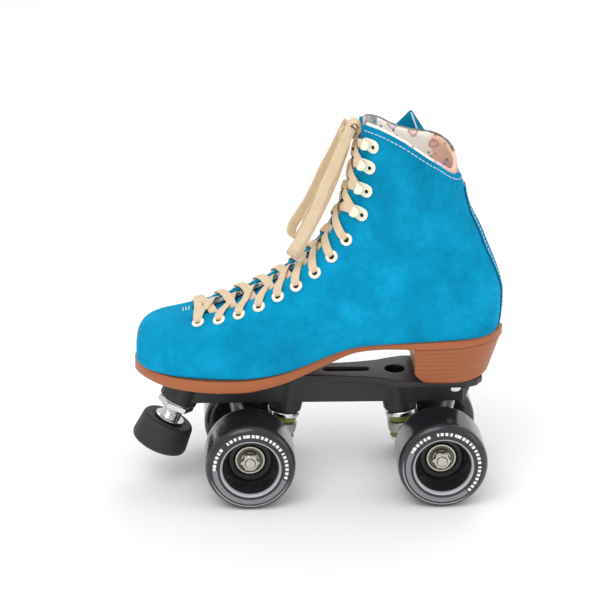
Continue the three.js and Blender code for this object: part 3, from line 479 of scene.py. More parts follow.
def thickened(made, thickness):
    """Gives a sheet its real thickness, inwards."""
    middle = sum((v.co for v in made.data.vertices), Vector()) / len(made.data.vertices)
    outward = sum(f.area * f.normal.dot(f.center - middle) for f in made.data.polygons)
    if outward < 0:
        made.data.flip_normals()
    solid = made.modifiers.new("thickness", "SOLIDIFY")
    solid.thickness = thickness * MM
    solid.offset = -1
    solid.use_even_offset = False


# ---------------------------------------------------------------- materials
def linear(hex_colour):
    """An sRGB hex colour as linear RGBA."""
    out = []
    for i in (1, 3, 5):
        v = int(hex_colour[i:i + 2], 16) / 255
        out.append(v / 12.92 if v <= 0.04045 else ((v + 0.055) / 1.055) ** 2.4)
    return (*out, 1.0)


def per(size_mm):
    """Pattern scale for a feature of a real size in millimetres."""
    return 1000 / size_mm


def shaded(colour, times, plus=0.0):
    """A colour made darker or lighter."""
    return (*(min(1.0, c * times + plus) for c in colour[:3]), 1.0)


def grey(value):
    return (value, value, value, 1.0)


class Look:
    """A Principled material in the making, with a short call for each kind of node."""

    def __init__(self, name, **sockets):
        self.material = bpy.data.materials.new(name)
        self.material.use_nodes = True
        self.tree = self.material.node_tree
        self.tree.nodes.clear()
        self.shader = self.node("BsdfPrincipled", {key.replace("_", " "): value
                                                   for key, value in sockets.items()})
        self.node("OutputMaterial", {"Surface": self.shader.outputs[0]})

    def node(self, kind, inputs=None, **settings):
        """Adds a node, sets it, and fills or links its inputs."""
        made = self.tree.nodes.new("ShaderNode" + kind)
        for key, value in settings.items():
            setattr(made, key, value)
        for key, value in (inputs or {}).items():
            if isinstance(value, bpy.types.NodeSocket):
                self.tree.links.new(value, made.inputs[key])
            else:
                made.inputs[key].default_value = value
        return made

    def here(self):
        return self.node("TexCoord").outputs["Object"]

    def local(self):
        return self.node("Attribute", attribute_name="local").outputs["Vector"]

    def xyz(self, where):
        return self.node("SeparateXYZ", {0: where}).outputs

    def math(self, operation, *values):
        inputs = dict(enumerate((*values, 0.0, 0.0)[:3]))
        return self.node("Math", inputs, operation=operation).outputs[0]

    def times(self, a, b):
        return self.math("MULTIPLY", a, b)

    def noise(self, size_mm, detail=3.0, where=None, rough=0.5):
        """Noise with features of a real size, on the piece's own coordinates."""
        return self.node("TexNoise", {"Vector": where or self.here(), "Scale": per(size_mm),
                                      "Detail": detail, "Roughness": rough}).outputs[0]

    def cells(self, where, size_mm):
        """Distance to the nearest of scattered points."""
        return self.node("TexVoronoi", {"Vector": where, "Scale": per(size_mm)}).outputs["Distance"]

    def nudged(self, where, size_mm, reach):
        """A place moved a little by noise, so that the pattern's edges waver."""
        drift = self.node("TexNoise", {"Vector": where, "Scale": per(size_mm)}).outputs[1]
        nudge = self.node("VectorMath", {0: drift, 1: (reach,) * 3}, operation="MULTIPLY").outputs[0]
        return self.node("VectorMath", {0: where, 1: nudge}, operation="ADD").outputs[0]

    def ramp(self, value, *stops):
        """Colours or greys along a value, given as position, colour, position, colour."""
        made = self.node("ValToRGB", {0: value})
        ends, pairs = made.color_ramp.elements, list(zip(stops[::2], stops[1::2]))
        while len(ends) < len(pairs):
            ends.new(0.5)
        for end, (position, colour) in zip(ends, pairs):
            end.position = position
            end.color = colour if isinstance(colour, tuple) else grey(colour)
        return made.outputs[0]

    def mapped(self, value, low, high, start=0.0, end=1.0):
        inputs = dict(enumerate((value, low, high, start, end)))
        return self.node("MapRange", inputs).outputs[0]

    def between(self, value, low, high, soft):
        """1 where a value lies between two limits, with soft edges."""
        return self.times(self.mapped(value, low - soft, low + soft),
                          self.mapped(value, high - soft, high + soft, 1.0, 0.0))

    def mix(self, amount, a, b, blend="MIX"):
        return self.node("Mix", {0: amount, 6: a, 7: b}, data_type="RGBA",
                         blend_type=blend).outputs[2]

    def product(self, colour, *others):
        """Colours multiplied together."""
        for other in others:
            colour = self.mix(1.0, colour, other, "MULTIPLY")
        return colour

    def done(self, colour, height=None, depth_mm=0.0, strength=1.0, rough=None):
        """Links the colour, bump and roughness, and gives the material."""
        self.tree.links.new(colour, self.shader.inputs["Base Color"])
        if rough:
            self.tree.links.new(rough, self.shader.inputs["Roughness"])
        if height:
            bump = self.node("Bump", {"Height": height, "Distance": depth_mm * MM,
                                      "Strength": strength})
            self.tree.links.new(bump.outputs[0], self.shader.inputs["Normal"])
        return self.material


def suede(name, base, light, dark):
    """Split hide with a brushed nap: matt, mottled where the nap lies different ways."""
    look = Look(name, Roughness=0.95, IOR=1.45, Specular_IOR_Level=0.15, Sheen_Weight=0.25,
                Sheen_Roughness=0.45, Sheen_Tint=light)
    patches = look.ramp(look.noise(26, rough=0.55), 0.3, dark, 0.5, base, 0.72, light)
    strokes = look.ramp(look.noise(5, 4, rough=0.65), 0.35, 0.86, 0.68, 1.0)
    # nap tufts are about 0.3 mm; drawn at 0.9 mm so that they show
    nap = look.noise(0.9, 2, rough=0.7)
    colour = look.product(patches, strokes, look.ramp(nap, 0.3, 0.88, 0.65, 1.0))
    # painted shade: the suede darkens to 0.84 of its colour between 0.17 m and 0.26 m above the floor, and
    # stays so above
    shaft_painted_shade = look.mapped(look.xyz(look.here())[2], 0.17, 0.26)
    colour = look.mix(shaft_painted_shade, colour, look.product(colour, grey(0.84)))
    return look.done(colour, nap, 0.25, 0.7)


def sole_leather(name, base, layered):
    """Vegetable-tanned leather edge, dyed and burnished: a soft gloss; stacked at the heel."""
    look = Look(name, Roughness=0.42, IOR=1.5)
    height = grain = look.noise(1.6, 4, rough=0.6)
    colour = look.mix(look.times(look.noise(18), 0.45), base, shaded(base, 0.72))
    if layered:
        # lifts of leather 3.2 mm thick with finer fibre lines between their edges
        up = look.xyz(look.here())[2]
        lift = look.math("FRACT", look.times(up, per(3.2)))
        seam = look.ramp(lift, 0.0, 0.0, 0.09, 1.0, 0.91, 1.0, 1.0, 0.0)
        fibres = look.ramp(look.math("SINE", look.times(up, per(0.16))), 0.0, 0.9, 1.0, 1.0)
        colour = look.product(look.mix(0.35, colour, seam, "MULTIPLY"), fibres)
        height = look.math("ADD", look.times(grain, 0.3), seam)
    return look.done(colour, height, 0.12, 0.6, look.ramp(grain, 0.3, 0.36, 0.7, 0.52))


def woven_lace(name, base):
    """Flat woven cotton: chevron ribs across the width, matt, with painted shade a little darker between
    ribs.
    """
    look = Look(name, Roughness=0.85, IOR=1.5, Specular_IOR_Level=0.25, Sheen_Weight=0.2,
                Sheen_Roughness=0.5)
    parts = look.xyz(look.local())
    run, across = look.times(parts[0], 1000.0), look.times(parts[1], 1000.0)
    # ribs are 0.6 mm apart; drawn at 1.1 mm so that they show
    slant = look.math("ADD", run, look.math("ABSOLUTE", across))
    rib = look.math("SINE", look.times(slant, 2 * math.pi / 1.1))
    cord = look.math("COSINE", look.times(across, 2 * math.pi / 1.3))
    height = look.math("ADD", rib, look.times(cord, 0.6))
    # painted shade: the colour darkens in the troughs between the ribs
    shade = look.ramp(look.math("MULTIPLY_ADD", height, 0.3, 0.5), 0.0, 0.76, 0.8, 1.0)
    soiled = look.ramp(look.noise(7), 0.3, 0.9, 0.7, 1.0)
    return look.done(look.product(base, shade, soiled), height, 0.12, 0.8)


def printed_cotton(name, ground, speck=linear("#6B5568"), tint=linear("#CDB4D2"), size=1.0,
                   back_panel=False):
    """Plain-weave cotton with a loose print of round blotches and specks."""
    look = Look(name, Roughness=0.9, IOR=1.5, Specular_IOR_Level=0.2, Sheen_Weight=0.1)
    where = look.here()
    bent = look.nudged(where, 9, 0.006)
    petals, leaves = look.cells(bent, 12 * size), look.cells(bent, 6.5 * size)
    tints = look.ramp(look.noise(24, 1, where), 0.4, linear("#EFA27C"), 0.5, linear("#E6A9AE"),
                      0.58, tint)
    inside = look.ramp(petals, 0.2, 0.5, 0.42, 0.0)
    rings = look.math("ABSOLUTE", look.math("SUBTRACT", petals, 0.3))
    swirl = look.ramp(rings, 0.02, 0.7, 0.07, 0.0)
    specks = look.ramp(leaves, 0.13, 0.85, 0.2, 0.0)
    if back_panel:
        # the piece at the back of the ankle is cut from the peach part of the cloth
        along = look.xyz(look.nudged(where, 30, 0.012))[0]
        panel = look.mapped(along, 0.088, 0.091, 0.0, 0.7)
        ground = look.mix(panel, ground, linear("#F3AE8A"))
    colour = look.mix(swirl, look.mix(inside, ground, tints), look.mix(0.5, tints, speck))
    return look.done(look.mix(specks, colour, speck), look.noise(0.8, 1), 0.08, 0.5)


def painted_shade_band_finish(name, base):
    """Painted shade: a dark tape at the top of the lining that stands for the shadow there."""
    look = Look(name, Roughness=0.8, IOR=1.5)
    colour = look.ramp(look.noise(4), 0.38, base, 0.62, linear("#9A9C94"))
    return look.done(colour, look.noise(0.7, 1), 0.1, 0.5)


def thread(name, base):
    """Bonded polyester sewing thread: fine twisted lines, slightly glossy."""
    look = Look(name, Roughness=0.5, IOR=1.5)
    return look.done(look.ramp(look.noise(0.5, 1), 0.3, shaded(base, 0.8), 0.7, base))


def clouded(name, base, cloud, size_mm, grain_mm, depth_mm, **sockets):
    """A smooth, faintly uneven finish: stove enamel on brass, or waxy cast urethane."""
    look = Look(name, Roughness=0.3, IOR=1.5, **sockets)
    colour = look.mix(look.noise(size_mm, 2), base, shaded(base, cloud))
    return look.done(colour, look.noise(grain_mm, 2), depth_mm, 0.4)


def moulded(name, base, gloss, grain_mm, depth_mm, mottle=0.15):
    """Moulded plastic or rubber: an even colour broken by a fine spark-eroded texture."""
    look = Look(name, Roughness=gloss, IOR=1.5)
    grain = look.noise(grain_mm, rough=0.6)
    colour = look.mix(look.noise(14, 4), base, shaded(base, 1 + 4 * mottle))
    rough = look.ramp(grain, 0.3, gloss - 0.08, 0.7, gloss + 0.12)
    return look.done(colour, grain, depth_mm, 0.6, rough)


def metal(name, base, gloss, grain_mm, depth_mm, dull=0.12):
    """Bare or plated metal: mirror-like under plating, broader highlights when cast or brushed."""
    look = Look(name, Metallic=1.0, Roughness=gloss)
    grain = look.noise(grain_mm)
    colour = look.mix(look.noise(6, 4), shaded(base, 0.82), base)
    rough = look.ramp(grain, 0.3, gloss, 0.75, gloss + dull)
    return look.done(colour, grain, depth_mm, 0.5, rough)


def printed_urethane(name, base, ink, white):
    """Cast urethane: deep gloss black with pad-printed rings and a row of plain dashes."""
    look = Look(name, Roughness=0.22, IOR=1.5, Coat_Weight=0.25, Coat_Roughness=0.08)
    x, y, z = look.xyz(look.local())
    squared = look.math("MULTIPLY_ADD", x, x, look.times(y, y))
    radius = look.times(look.math("SQRT", squared), 1000.0)
    angle = look.math("ARCTAN2", y, x)
    outside = look.mapped(z, 0.0355, 0.0365)
    ring = look.between(radius, 20.2, 21.9, 0.12)
    band = look.times(look.between(radius, 23.9, 27.3, 0.12), 0.45)
    edge = look.times(look.between(radius, 28.7, 29.5, 0.12), look.between(angle, -2.9, -0.7, 0.2))
    # the dashes run over the top of the wheel; the plain band fills the rest of the circle
    top = look.between(angle, -0.55, 2.95, 0.02)
    turn = look.times(angle, 25.0 / math.pi)

    def chance(scale):
        """A value for each dash's place."""
        return look.node("TexNoise", {"W": look.math("FLOOR", turn), "Scale": scale},
                         noise_dimensions="1D").outputs[0]

    dash = look.math("LESS_THAN", look.math("FRACT", turn), look.math("ADD", chance(7.3), 0.12))
    dashes = look.times(dash, look.math("GREATER_THAN", chance(3.1), 0.34))
    for part in (look.between(radius, 24.9, 27.2, 0.1), top, outside):
        dashes = look.times(dashes, part)
    plain = look.times(band, look.math("SUBTRACT", 1.0, top))
    grey_ink = look.times(look.math("MAXIMUM", ring, look.math("MAXIMUM", plain, edge)), outside)
    cast = look.mix(look.noise(20, 2), base, shaded(base, 1.5))
    colour = look.mix(dashes, look.mix(grey_ink, cast, ink), white)
    rough = look.ramp(look.noise(2.5, 4, rough=0.7), 0.35, 0.16, 0.75, 0.32)
    return look.done(colour, look.math("ADD", look.times(grey_ink, 0.5), dashes), 0.06, 0.5, rough)


def paper_floor(name, base):
    """Seamless paper: matt, nearly white, with a faint tooth."""
    look = Look(name, Roughness=0.7, IOR=1.45, Specular_IOR_Level=0.3)
    tone = look.ramp(look.noise(400, 2), 0.3, shaded(base, 0.985), 0.7, base)
    return look.done(tone, look.noise(1.5, 2), 0.02, 0.2)


@lru_cache(None)
def finishes():
    """All the materials, made once from the panel's colours."""
    boot, gear = bpy.context.scene.skate_boot, bpy.context.scene.skate_gear
    base, sole = tuple(boot.suede_colour), tuple(boot.sole_colour)
    shade = shaded(base, 0.82)
    return {
        "suede": suede("brushed_suede", base, shaded(base, 1.22, 0.004), shade),
        "trim": suede("trim_suede", shade, base, shaded(shade, 0.8)),
        "sole": sole_leather("burnished_sole_leather", sole, False),
        "heel": sole_leather("stacked_heel_leather", sole, True),
        "lace": woven_lace("woven_cotton_lace", tuple(boot.lace_colour)),
        "lining": printed_cotton("printed_cotton_lining", linear("#FFFBF3"), back_panel=True),
        "tongue_print": printed_cotton("tongue_lining_print", linear("#A4AAA8"), linear("#262B2E"),
                                       linear("#3D7F97"), size=0.45),
        # painted shade: a dark finish for the shadow along the far top edge of the lining
        "binding": painted_shade_band_finish("painted_shade_lining_tape", linear("#5F6460")),
        "insole": printed_cotton("insole_cotton", linear("#D8C7AA")),
        "thread": thread("polyester_thread", linear("#DCEAF0")),
        "enamel": clouded("stove_enamelled_brass", linear("#F7F5E0"), 0.9, 3, 1.2, 0.03,
                          Coat_Weight=0.4, Coat_Roughness=0.15),
        # painted shadow: a dark matt finish for the shade inside the eyelet and rivet holes
        "hole": moulded("eyelet_hole_painted_shadow", linear("#1B1512"), 0.85, 0.6, 0.05),
        "plate": moulded("glass_filled_nylon", linear("#1F1F22"), 0.45, 0.7, 0.05),
        "stop": moulded("moulded_stop_rubber", linear("#202023"), 0.55, 0.8, 0.06),
        "core": moulded("nylon_wheel_core", linear("#151516"), 0.4, 0.8, 0.03),
        "acetal": moulded("acetal_pivot_cup", linear("#D9D9D2"), 0.45, 0.8, 0.02, 0.02),
        "urethane": printed_urethane("cast_urethane_tyre", tuple(gear.tyre_colour),
                                     linear("#B4B6BA"), linear("#F2F3F4")),
        "cushion": clouded("olive_urethane_cushion", tuple(gear.cushion_colour), 1.35, 5, 1.5, 0.03,
                           Subsurface_Weight=0.15, Subsurface_Scale=0.002),
        "cast": metal("tumbled_aluminium_casting", linear("#B4B2AD"), 0.38, 0.7, 0.08),
        "chrome": metal("bright_chrome_plate", linear("#E6E8EA"), 0.08, 2.0, 0.01, 0.06),
        "steel": metal("warm_bearing_steel", linear("#CDC8BC"), 0.2, 1.2, 0.02),
        "shield": metal("bearing_shield_steel", linear("#6E6B60"), 0.35, 1.0, 0.02),
        "plastic": moulded("clear_lace_tip", linear("#EFE4CF"), 0.3, 1.0, 0.02, 0.02),
    }


# ---------------------------------------------------------------- sizes and colours to change
class SkateBoot(bpy.types.PropertyGroup):
    """Sizes and colours of the boot and its laces."""
    suede_colour: bpy.props.FloatVectorProperty(
        name="Suede", description="Colour of the boot's suede", subtype="COLOR", size=4,
        default=linear("#009CCB"), min=0, max=1)
    sole_colour: bpy.props.FloatVectorProperty(
        name="Sole leather", description="Colour of the sole and heel", subtype="COLOR", size=4,
        default=linear("#AE6134"), min=0, max=1)
    lace_colour: bpy.props.FloatVectorProperty(
        name="Lace", description="Colour of the cotton laces", subtype="COLOR", size=4,
        default=linear("#F9DFBB"), min=0, max=1)
    lace_width: bpy.props.FloatProperty(
        name="Lace width", description="Width of the flat lace", subtype="DISTANCE",
        default=0.0075, min=0.004, max=0.012)
    lace_thickness: bpy.props.FloatProperty(
        name="Lace thickness", description="Thickness of the flat lace", subtype="DISTANCE",
        default=0.0015, min=0.0008, max=0.003)
    stitch_pitch: bpy.props.FloatProperty(
        name="Stitch pitch", description="Distance from one stitch to the next",
        subtype="DISTANCE", default=0.0032, min=0.002, max=0.006)


class SkateGear(bpy.types.PropertyGroup):
    """Sizes and colours of the running gear."""
    tyre_colour: bpy.props.FloatVectorProperty(
        name="Tyre", description="Colour of the wheels' urethane", subtype="COLOR", size=4,
        default=linear("#1C1C20"), min=0, max=1)
    cushion_colour: bpy.props.FloatVectorProperty(
        name="Cushion", description="Colour of the trucks' cushions", subtype="COLOR", size=4,
        default=linear("#66772F"), min=0, max=1)
    wheel_sides: bpy.props.IntProperty(
        name="Wheel facets", description="Facets round a wheel", default=112, min=32, max=256)
    stop_thread_pitch: bpy.props.FloatProperty(
        name="Stop thread pitch", description="Pitch of the toe stop's thread",
        subtype="DISTANCE", default=0.0016, min=0.001, max=0.003)


class SkateStage(bpy.types.PropertyGroup):
    """Camera and light."""
    lens: bpy.props.FloatProperty(
        name="Lens", description="Focal length on a 36 mm sensor, in millimetres", default=129.52,
        min=20, max=300)
    key_power: bpy.props.FloatProperty(
        name="Key light", description="Power of the overhead soft box", unit="POWER",
        default=10, min=0)
    sky: bpy.props.FloatProperty(
        name="Sky", description="Strength of the even white light all round", default=0.82, min=0)


# ---------------------------------------------------------------- stage
class SKATE_OT_stage(bpy.types.Operator):
    """Set up the camera, floor and soft lights."""
    bl_idname = "skate.stage"
    bl_label = "Stage"

    def execute(self, context):
        props = context.scene.skate_stage
        # the plain transform keeps the materials' own colours
        context.scene.view_settings.view_transform = "Standard"
        self.camera(props)
        self.floor()
        self.lights(props)
        return {"FINISHED"}

    def camera(self, props):
        yaw, pitch, roll = math.radians(2.96), math.radians(-20.677), math.radians(0.577)
        ahead = Vector((math.sin(yaw) * math.cos(pitch), math.cos(yaw) * math.cos(pitch),
                        math.sin(pitch)))
        right = ahead.cross(Vector((0, 0, 1))).normalized()
        up = right.cross(ahead)
        side = right * math.cos(roll) + up * math.sin(roll)
        top = up * math.cos(roll) - right * math.sin(roll)
        data = bpy.data.cameras.new("camera")
        data.lens, data.sensor_width = props.lens, 36
        data.clip_end = 50
        made = linked("camera", data)
        frame_axes = Matrix((side, top, -ahead)).transposed().to_4x4()
        made.matrix_world = Matrix.Translation(place((-107.65, -1460.34, 691.22))) @ frame_axes
        bpy.context.scene.camera = made

    def floor(self):
        mesh = bpy.data.meshes.new("floor")
        half = 12.0
        mesh.from_pydata([(-half, -half, 0), (half, -half, 0), (half, half, 0), (-half, half, 0)],
                         [], [(0, 1, 2, 3)])
        mesh.materials.append(paper_floor("seamless_paper", linear("#FFFFFF")))
        linked("floor", mesh)

    def lights(self, props):
        world = bpy.data.worlds.new("studio")
        world.use_nodes = True
        back = world.node_tree.nodes["Background"]
        back.inputs["Color"].default_value = (1.0, 1.0, 1.0, 1.0)
        back.inputs["Strength"].default_value = props.sky
        bpy.context.scene.world = world
        boxes = [("key_box", (-0.5, -0.9, 1.5), 1.1, props.key_power),
                 ("back_box", (0.5, 1.3, 1.3), 1.2, props.key_power * 0.6),
                 ("side_box", (1.5, -0.5, 0.7), 0.8, props.key_power * 0.2)]
        for name, where, size, power in boxes:
            data = bpy.data.lights.new(name, "AREA")
            data.shape, data.size, data.energy = "SQUARE", size, power
            made = linked(name, data)
            made.location = where
            aim = Vector((0, 0, 0.12)) - Vector(where)
            made.rotation_euler = aim.to_track_quat("-Z", "Y").to_euler()


# ---------------------------------------------------------------- free laces and knot
KNOT = Vector((4.2, 0, 267.9))
KNOT_RADII = (4.5, 8, 5.6)
# Route points repeated from the CAD source: where each lace leaves the knot, the points it
# passes, and where a loop comes back.
FREE_LACES = {
    "bow_loop_left": ((-0.25, -0.95, 0.2), [
        (-4.5, -13, 257), (-9.5, -16.5, 246), (-16, -19.5, 233), (-21.5, -22, 219), (-28, -24, 204),
        (-34, -25.5, 194), (-38.5, -25.2, 187), (-40, -22, 181.8), (-38.2, -17.8, 179),
        (-35, -13.8, 179.8), (-32.5, -11.4, 184.5), (-28.5, -10.6, 193), (-22, -10, 206),
        (-15.5, -9.6, 220), (-10, -9.2, 234), (-5.5, -8.6, 247), (-2.4, -7.6, 257)],
        (-0.5, -0.8, -0.3), 0.211),
    "bow_loop_right": ((-0.25, 0.95, 0.2), [
        (-4.5, 13, 257), (-9, 16, 246), (-15, 19, 233), (-20.5, 21, 219), (-27, 23, 205),
        (-32.5, 24.5, 195.5), (-36.5, 24.2, 189), (-38, 21, 184), (-36.4, 17, 181.4),
        (-33.5, 13, 182.4), (-31, 10.8, 187), (-27, 10.2, 195), (-21.5, 9.8, 207), (-15, 9.4, 221),
        (-9.5, 9, 235), (-5, 8.4, 248), (-2, 7.4, 257.5)],
        (-0.5, 0.8, -0.3), 0.2045),
    "lace_end_left": ((-0.6, -0.28, -0.75), [
        (-3.5, -3.8, 254.5), (-8, -4, 243), (-13, -4.2, 231), (-18, -4.4, 219), (-23.5, -4.6, 206),
        (-28, -4.8, 197.5), (-31, -5, 192.5)], None, 0.0784),
    "lace_end_right": ((-0.6, 0.28, -0.75), [
        (-3.5, 3.8, 255), (-7.5, 4, 244), (-12.5, 4.2, 232), (-17.5, 4.4, 220.5), (-22.5, 4.6, 209),
        (-26.5, 4.8, 201), (-28.5, 5, 197)], None, 0.0732),
}
BOW_ACROSS = Vector((0.8, 0, -0.6))  # across a hanging lace, in the plane of its flat


def knot_exit(direction, off):
    """A point just off the knot, in a direction from its centre."""
    d = Vector(direction).normalized()
    reach = 1 / math.sqrt(sum((v / r) ** 2 for v, r in zip(d, KNOT_RADII)))
    return KNOT + d * (reach + off)


class SKATE_OT_free_laces(bpy.types.Operator):
    """Make the bow's two loops and the two lace ends with their tips."""
    bl_idname = "skate.free_laces"
    bl_label = "Bow"

    def execute(self, context):
        boot = context.scene.skate_boot
        for name, (leaves, stops, returns, length) in FREE_LACES.items():
            back = [knot_exit(returns, 4), knot_exit(returns, 0.5)] if returns else []
            path = through([knot_exit(leaves, 0.5), knot_exit(leaves, 4), *stops, *back])
            twist = 0.0 if returns else 0.5

            def wide(i, path=path, twist=twist):
                turn = twist * math.sin(3.0 * i / len(path) + 0.4)
                return BOW_ACROSS + Vector((0, turn, 0))

            lace = ribbon(path, wide, boot.lace_width / MM, boot.lace_thickness / MM)
            made = piece(name + "_woven", lace, "lace", [name])
            on_it = [] if returns else [self.tip(name, path)]
        return {"FINISHED"}

    def tip(self, name, path):
        """The moulded tip crimped round a lace's end."""
        length, radius = 12.0, 1.5
        ahead = (path[-1] - path[-4]).normalized()
        shape = lathe([(0, -length), (radius, -length + 0.3), (radius * 0.95, 0.6), (0.4, 1.2),
                       (0, 1.3)], 20, 0.4)
        turn = ahead.to_track_quat("Z", "Y").to_matrix().to_4x4()
        return piece(name + "_tip", shape, "plastic",
                     at=Matrix.Translation(path[-1]) @ turn)


class SKATE_OT_knot(bpy.types.Operator):
    """Tie the bow's knot from wraps of flat lace."""
    bl_idname = "skate.knot"
    bl_label = "Knot"

    def execute(self, context):
        width = context.scene.skate_boot.lace_width / MM
        parts, thick, sides = [], 1.5, 32
        for turn, size, tilt in ((0.0, 0.98, 0.1), (0.5, 0.84, -0.35), (-0.4, 0.9, 0.45)):
            path = []
            for i in range(sides + 1):
                angle = 2 * math.pi * i / sides + turn
                path.append(KNOT + Vector((size * KNOT_RADII[0] * math.cos(angle),
                                           tilt * 5 * math.sin(angle) + tilt * 3,
                                           size * KNOT_RADII[2] * math.sin(angle))))
            parts.append(ribbon(path, Vector((tilt, 1, tilt)), width * 0.85, thick))
        for leaves, _, returns, _ in FREE_LACES.values():
            for direction in filter(None, (leaves, returns)):
                path = through([KNOT, knot_exit(direction, -2.5), knot_exit(direction, 0.7)], 0.8)
                parts.append(ribbon(path, BOW_ACROSS, width * 0.92, thick))
        piece("tied_knot", gathered(parts), "lace", ["bow_knot"])
        return {"FINISHED"}


# ---------------------------------------------------------------- lacing and fasteners
def surface_path(stops, step=0.9):
    """Points and normals of a path over the boot, from (section, y, height above the skin)."""
    stretch = 22.0  # a section is about this many millimetres long
    path, normals = [], []
    for a, y, h in through([(s * stretch, y, h) for s, y, h in stops], step):
        s = min(a / stretch, LAST - 0.05)
        turn = turn_at_width(s, y) if abs(y) > 0.01 else 0.0
        normals.append(skin_normal(s, turn))
        path.append(skin_point(s, turn) + normals[-1] * h)
    return path, normals


def laid_lace(stops, width, thickness):
    """A flat lace lying on the boot along a path."""
    path, normals = surface_path(stops)

    def wide(i):
        ahead = path[min(i + 1, len(path) - 1)] - path[max(i - 1, 0)]
        return normals[i].cross(ahead)

    return ribbon(path, wide, width, thickness)


class SKATE_OT_lacing(bpy.types.Operator):
    """Lace the boot: from each fastener over the flap, across the tongue to the other side."""
    bl_idname = "skate.lacing"
    bl_label = "Lacing"

    def execute(self, context):
        boot = context.scene.skate_boot
        width, thick = boot.lace_width / MM * 0.84, boot.lace_thickness / MM
        stops = EYELETS + HOOKS
        parts = [laid_lace(self.bar(stops[0]), width, thick)]
        for i, (s0, s1) in enumerate(zip(stops, stops[1:])):
            for side in (-1, 1):
                parts.append(laid_lace(self.strand(s0, s1, side, i), width, thick))
        piece("woven_lacing", gathered(parts), "lace", ["lace_rows"])
        return {"FINISHED"}

    def bar(self, s):
        """The straight lace across the lowest pair of eyelets."""
        reach, half = fastener_reach(s), throat_half(s)
        rise = [(reach, -1), (reach - 1.8, 1.9), (half + 2.5, 1.7), (half - 3, 1.0)]
        return ([(s, -y, h) for y, h in rise] + [(s, 0, 0.6)] + [(s, y, h) for y, h in rise[::-1]])

    def strand(self, s0, s1, side, i):
        """From the fastener on one side at s0 to the one on the other side at s1."""
        span = s1 - s0
        reach0, half0 = fastener_reach(s0), throat_half(s0)
        reach1, half1 = fastener_reach(s1), throat_half(s1)
        over = 0.9 if (side < 0) == (i % 2 == 0) else -0.9
        sunk = 2.4 * min(1.0, (s0 - THROAT_START) / 0.6)
        if s0 in HOOKS:
            start = [(s0, side * (reach0 - 2.2), 2.4), (s0 + 0.07 * span, side * (reach0 - 4.2), 2.4)]
        else:
            start = [(s0, side * reach0, -1.0), (s0 + 0.03 * span, side * (reach0 - 2.0), 2.0)]
        middle = [(s0 + 0.18 * span, side * (half0 + 2.2), 1.8), (s0 + 0.32 * span, side * (half0 - 3), 0.2),
                  (s0 + 0.5 * span, 0, over - sunk), (s0 + 0.7 * span, -side * (half1 - 3.5), -sunk)]
        if s1 in HOOKS:
            end = [(s0 + 0.84 * span, -side * (half1 + 0.6), 1.5),
                   (s0 + 0.95 * span, -side * (reach1 - 4.2), 2.4), (s1, -side * (reach1 - 2.2), 2.4)]
        else:
            end = [(s0 + 0.86 * span, -side * (half1 + 0.6), -sunk - 1.0)]
        return start + middle + end


class SKATE_OT_fasteners(bpy.types.Operator):
    """Set the enamelled eyelets and speed hooks beside the throat."""
    bl_idname = "skate.fasteners"
    bl_label = "Eyelets and hooks"

    def execute(self, context):
        for name, side in (("left", -1), ("right", 1)):
            rims, holes = [], []
            for s in EYELETS:
                seat = self.seat(s, side, 0.2)
                rims.append(moved(seat, lathe([(2.1, -0.3), (2.1, 1.0), (2.9, 1.5), (3.9, 1.3),
                                               (4.6, 0.5), (4.6, 0), (2.1, -0.3)], 32, 0.5)))
                # painted shadow: a dark disc in each eyelet's mouth stands for the shade in the hole
                holes.append(moved(seat, disc(2.3, 0.15, -0.2, 24, 0.05)))
            for s in HOOKS:
                seat = self.seat(s, side, 0.2)
                rims.append(moved(seat, self.hook()))
                seat = seat @ Matrix.Translation((0, 1.4, 0))
                rims.append(moved(seat, lathe([(1.3, 0.9), (1.5, 1.6), (2.3, 1.6), (2.6, 1.1),
                                               (2.6, 0.9), (1.3, 0.9)], 24, 0.3)))
                # painted shadow: a dark disc in the rivet stands for the shade in its hole
                holes.append(moved(seat, disc(1.5, 1.22, 0.9, 20, 0.05)))
            piece("eyelets_and_hooks_" + name, gathered(rims)[:2], "enamel", ["eyelets_" + name])
            piece("eyelet_hole_painted_shadows_" + name, gathered(holes)[:2], "hole")
        return {"FINISHED"}

    def seat(self, s, side, stand_off):
        """Frame on the skin: Z out of it, Y away from the throat."""
        turn = turn_at_width(s, side * fastener_reach(s))
        normal = skin_normal(s, turn)
        away = skin_point(s, turn + side * 0.05) - skin_point(s, turn)
        away = (away - normal * away.dot(normal)).normalized()
        axes = Matrix((away.cross(normal), away, normal)).transposed().to_4x4()
        return Matrix.Translation(skin_point(s, turn) + normal * stand_off) @ axes

    def hook(self):
        """A strip that runs from its rivet towards the throat and curls back over the lace."""
        rows = [(5.4, 0.4, 1.2), (4.6, 0.4, 3.2), (2.8, 0.4, 4.5), (0.5, 0.4, 4.9), (-2, 0.5, 4.6),
                (-4.4, 0.9, 4.3), (-6.0, 2.1, 4.2), (-6.4, 3.7, 4.1), (-5.4, 5.0, 4.0), (-3.4, 5.5, 3.8),
                (-1.6, 5.2, 3.2), (-0.6, 4.8, 1.8)]
        rings = []
        for i, (y, z, half) in enumerate(rows):
            a, b = rows[max(i - 1, 0)], rows[min(i + 1, len(rows) - 1)]
            lift = Vector((0, -(b[1] - a[1]), b[0] - a[0])).normalized() * -1
            rings.append([Vector((half * bowed(c, 0.6), y, z)) + lift * 0.55 * bowed(d, 0.8)
                          for c, d in turns(14)])
        return tube(rings)


# ---------------------------------------------------------------- stitching
def stitch_row(path, normals, pitch, size=0.62):
    """Short raised stitches along a path."""
    parts, run, due = [], 0.0, pitch / 2
    for i in range(1, len(path)):
        run += (path[i] - path[i - 1]).length
        if run < due:
            continue
        due += pitch
        ahead, lift = (path[i] - path[i - 1]).normalized(), normals[i]
        half = pitch * 0.33
        line = [path[i] + ahead * (half * t) + lift * (0.32 * (1 - t * t) - 0.05)
                for t in (-1, -0.5, 0, 0.5, 1)]
        parts.append(ribbon(line, lift.cross(ahead), size, 0.5))
    return parts


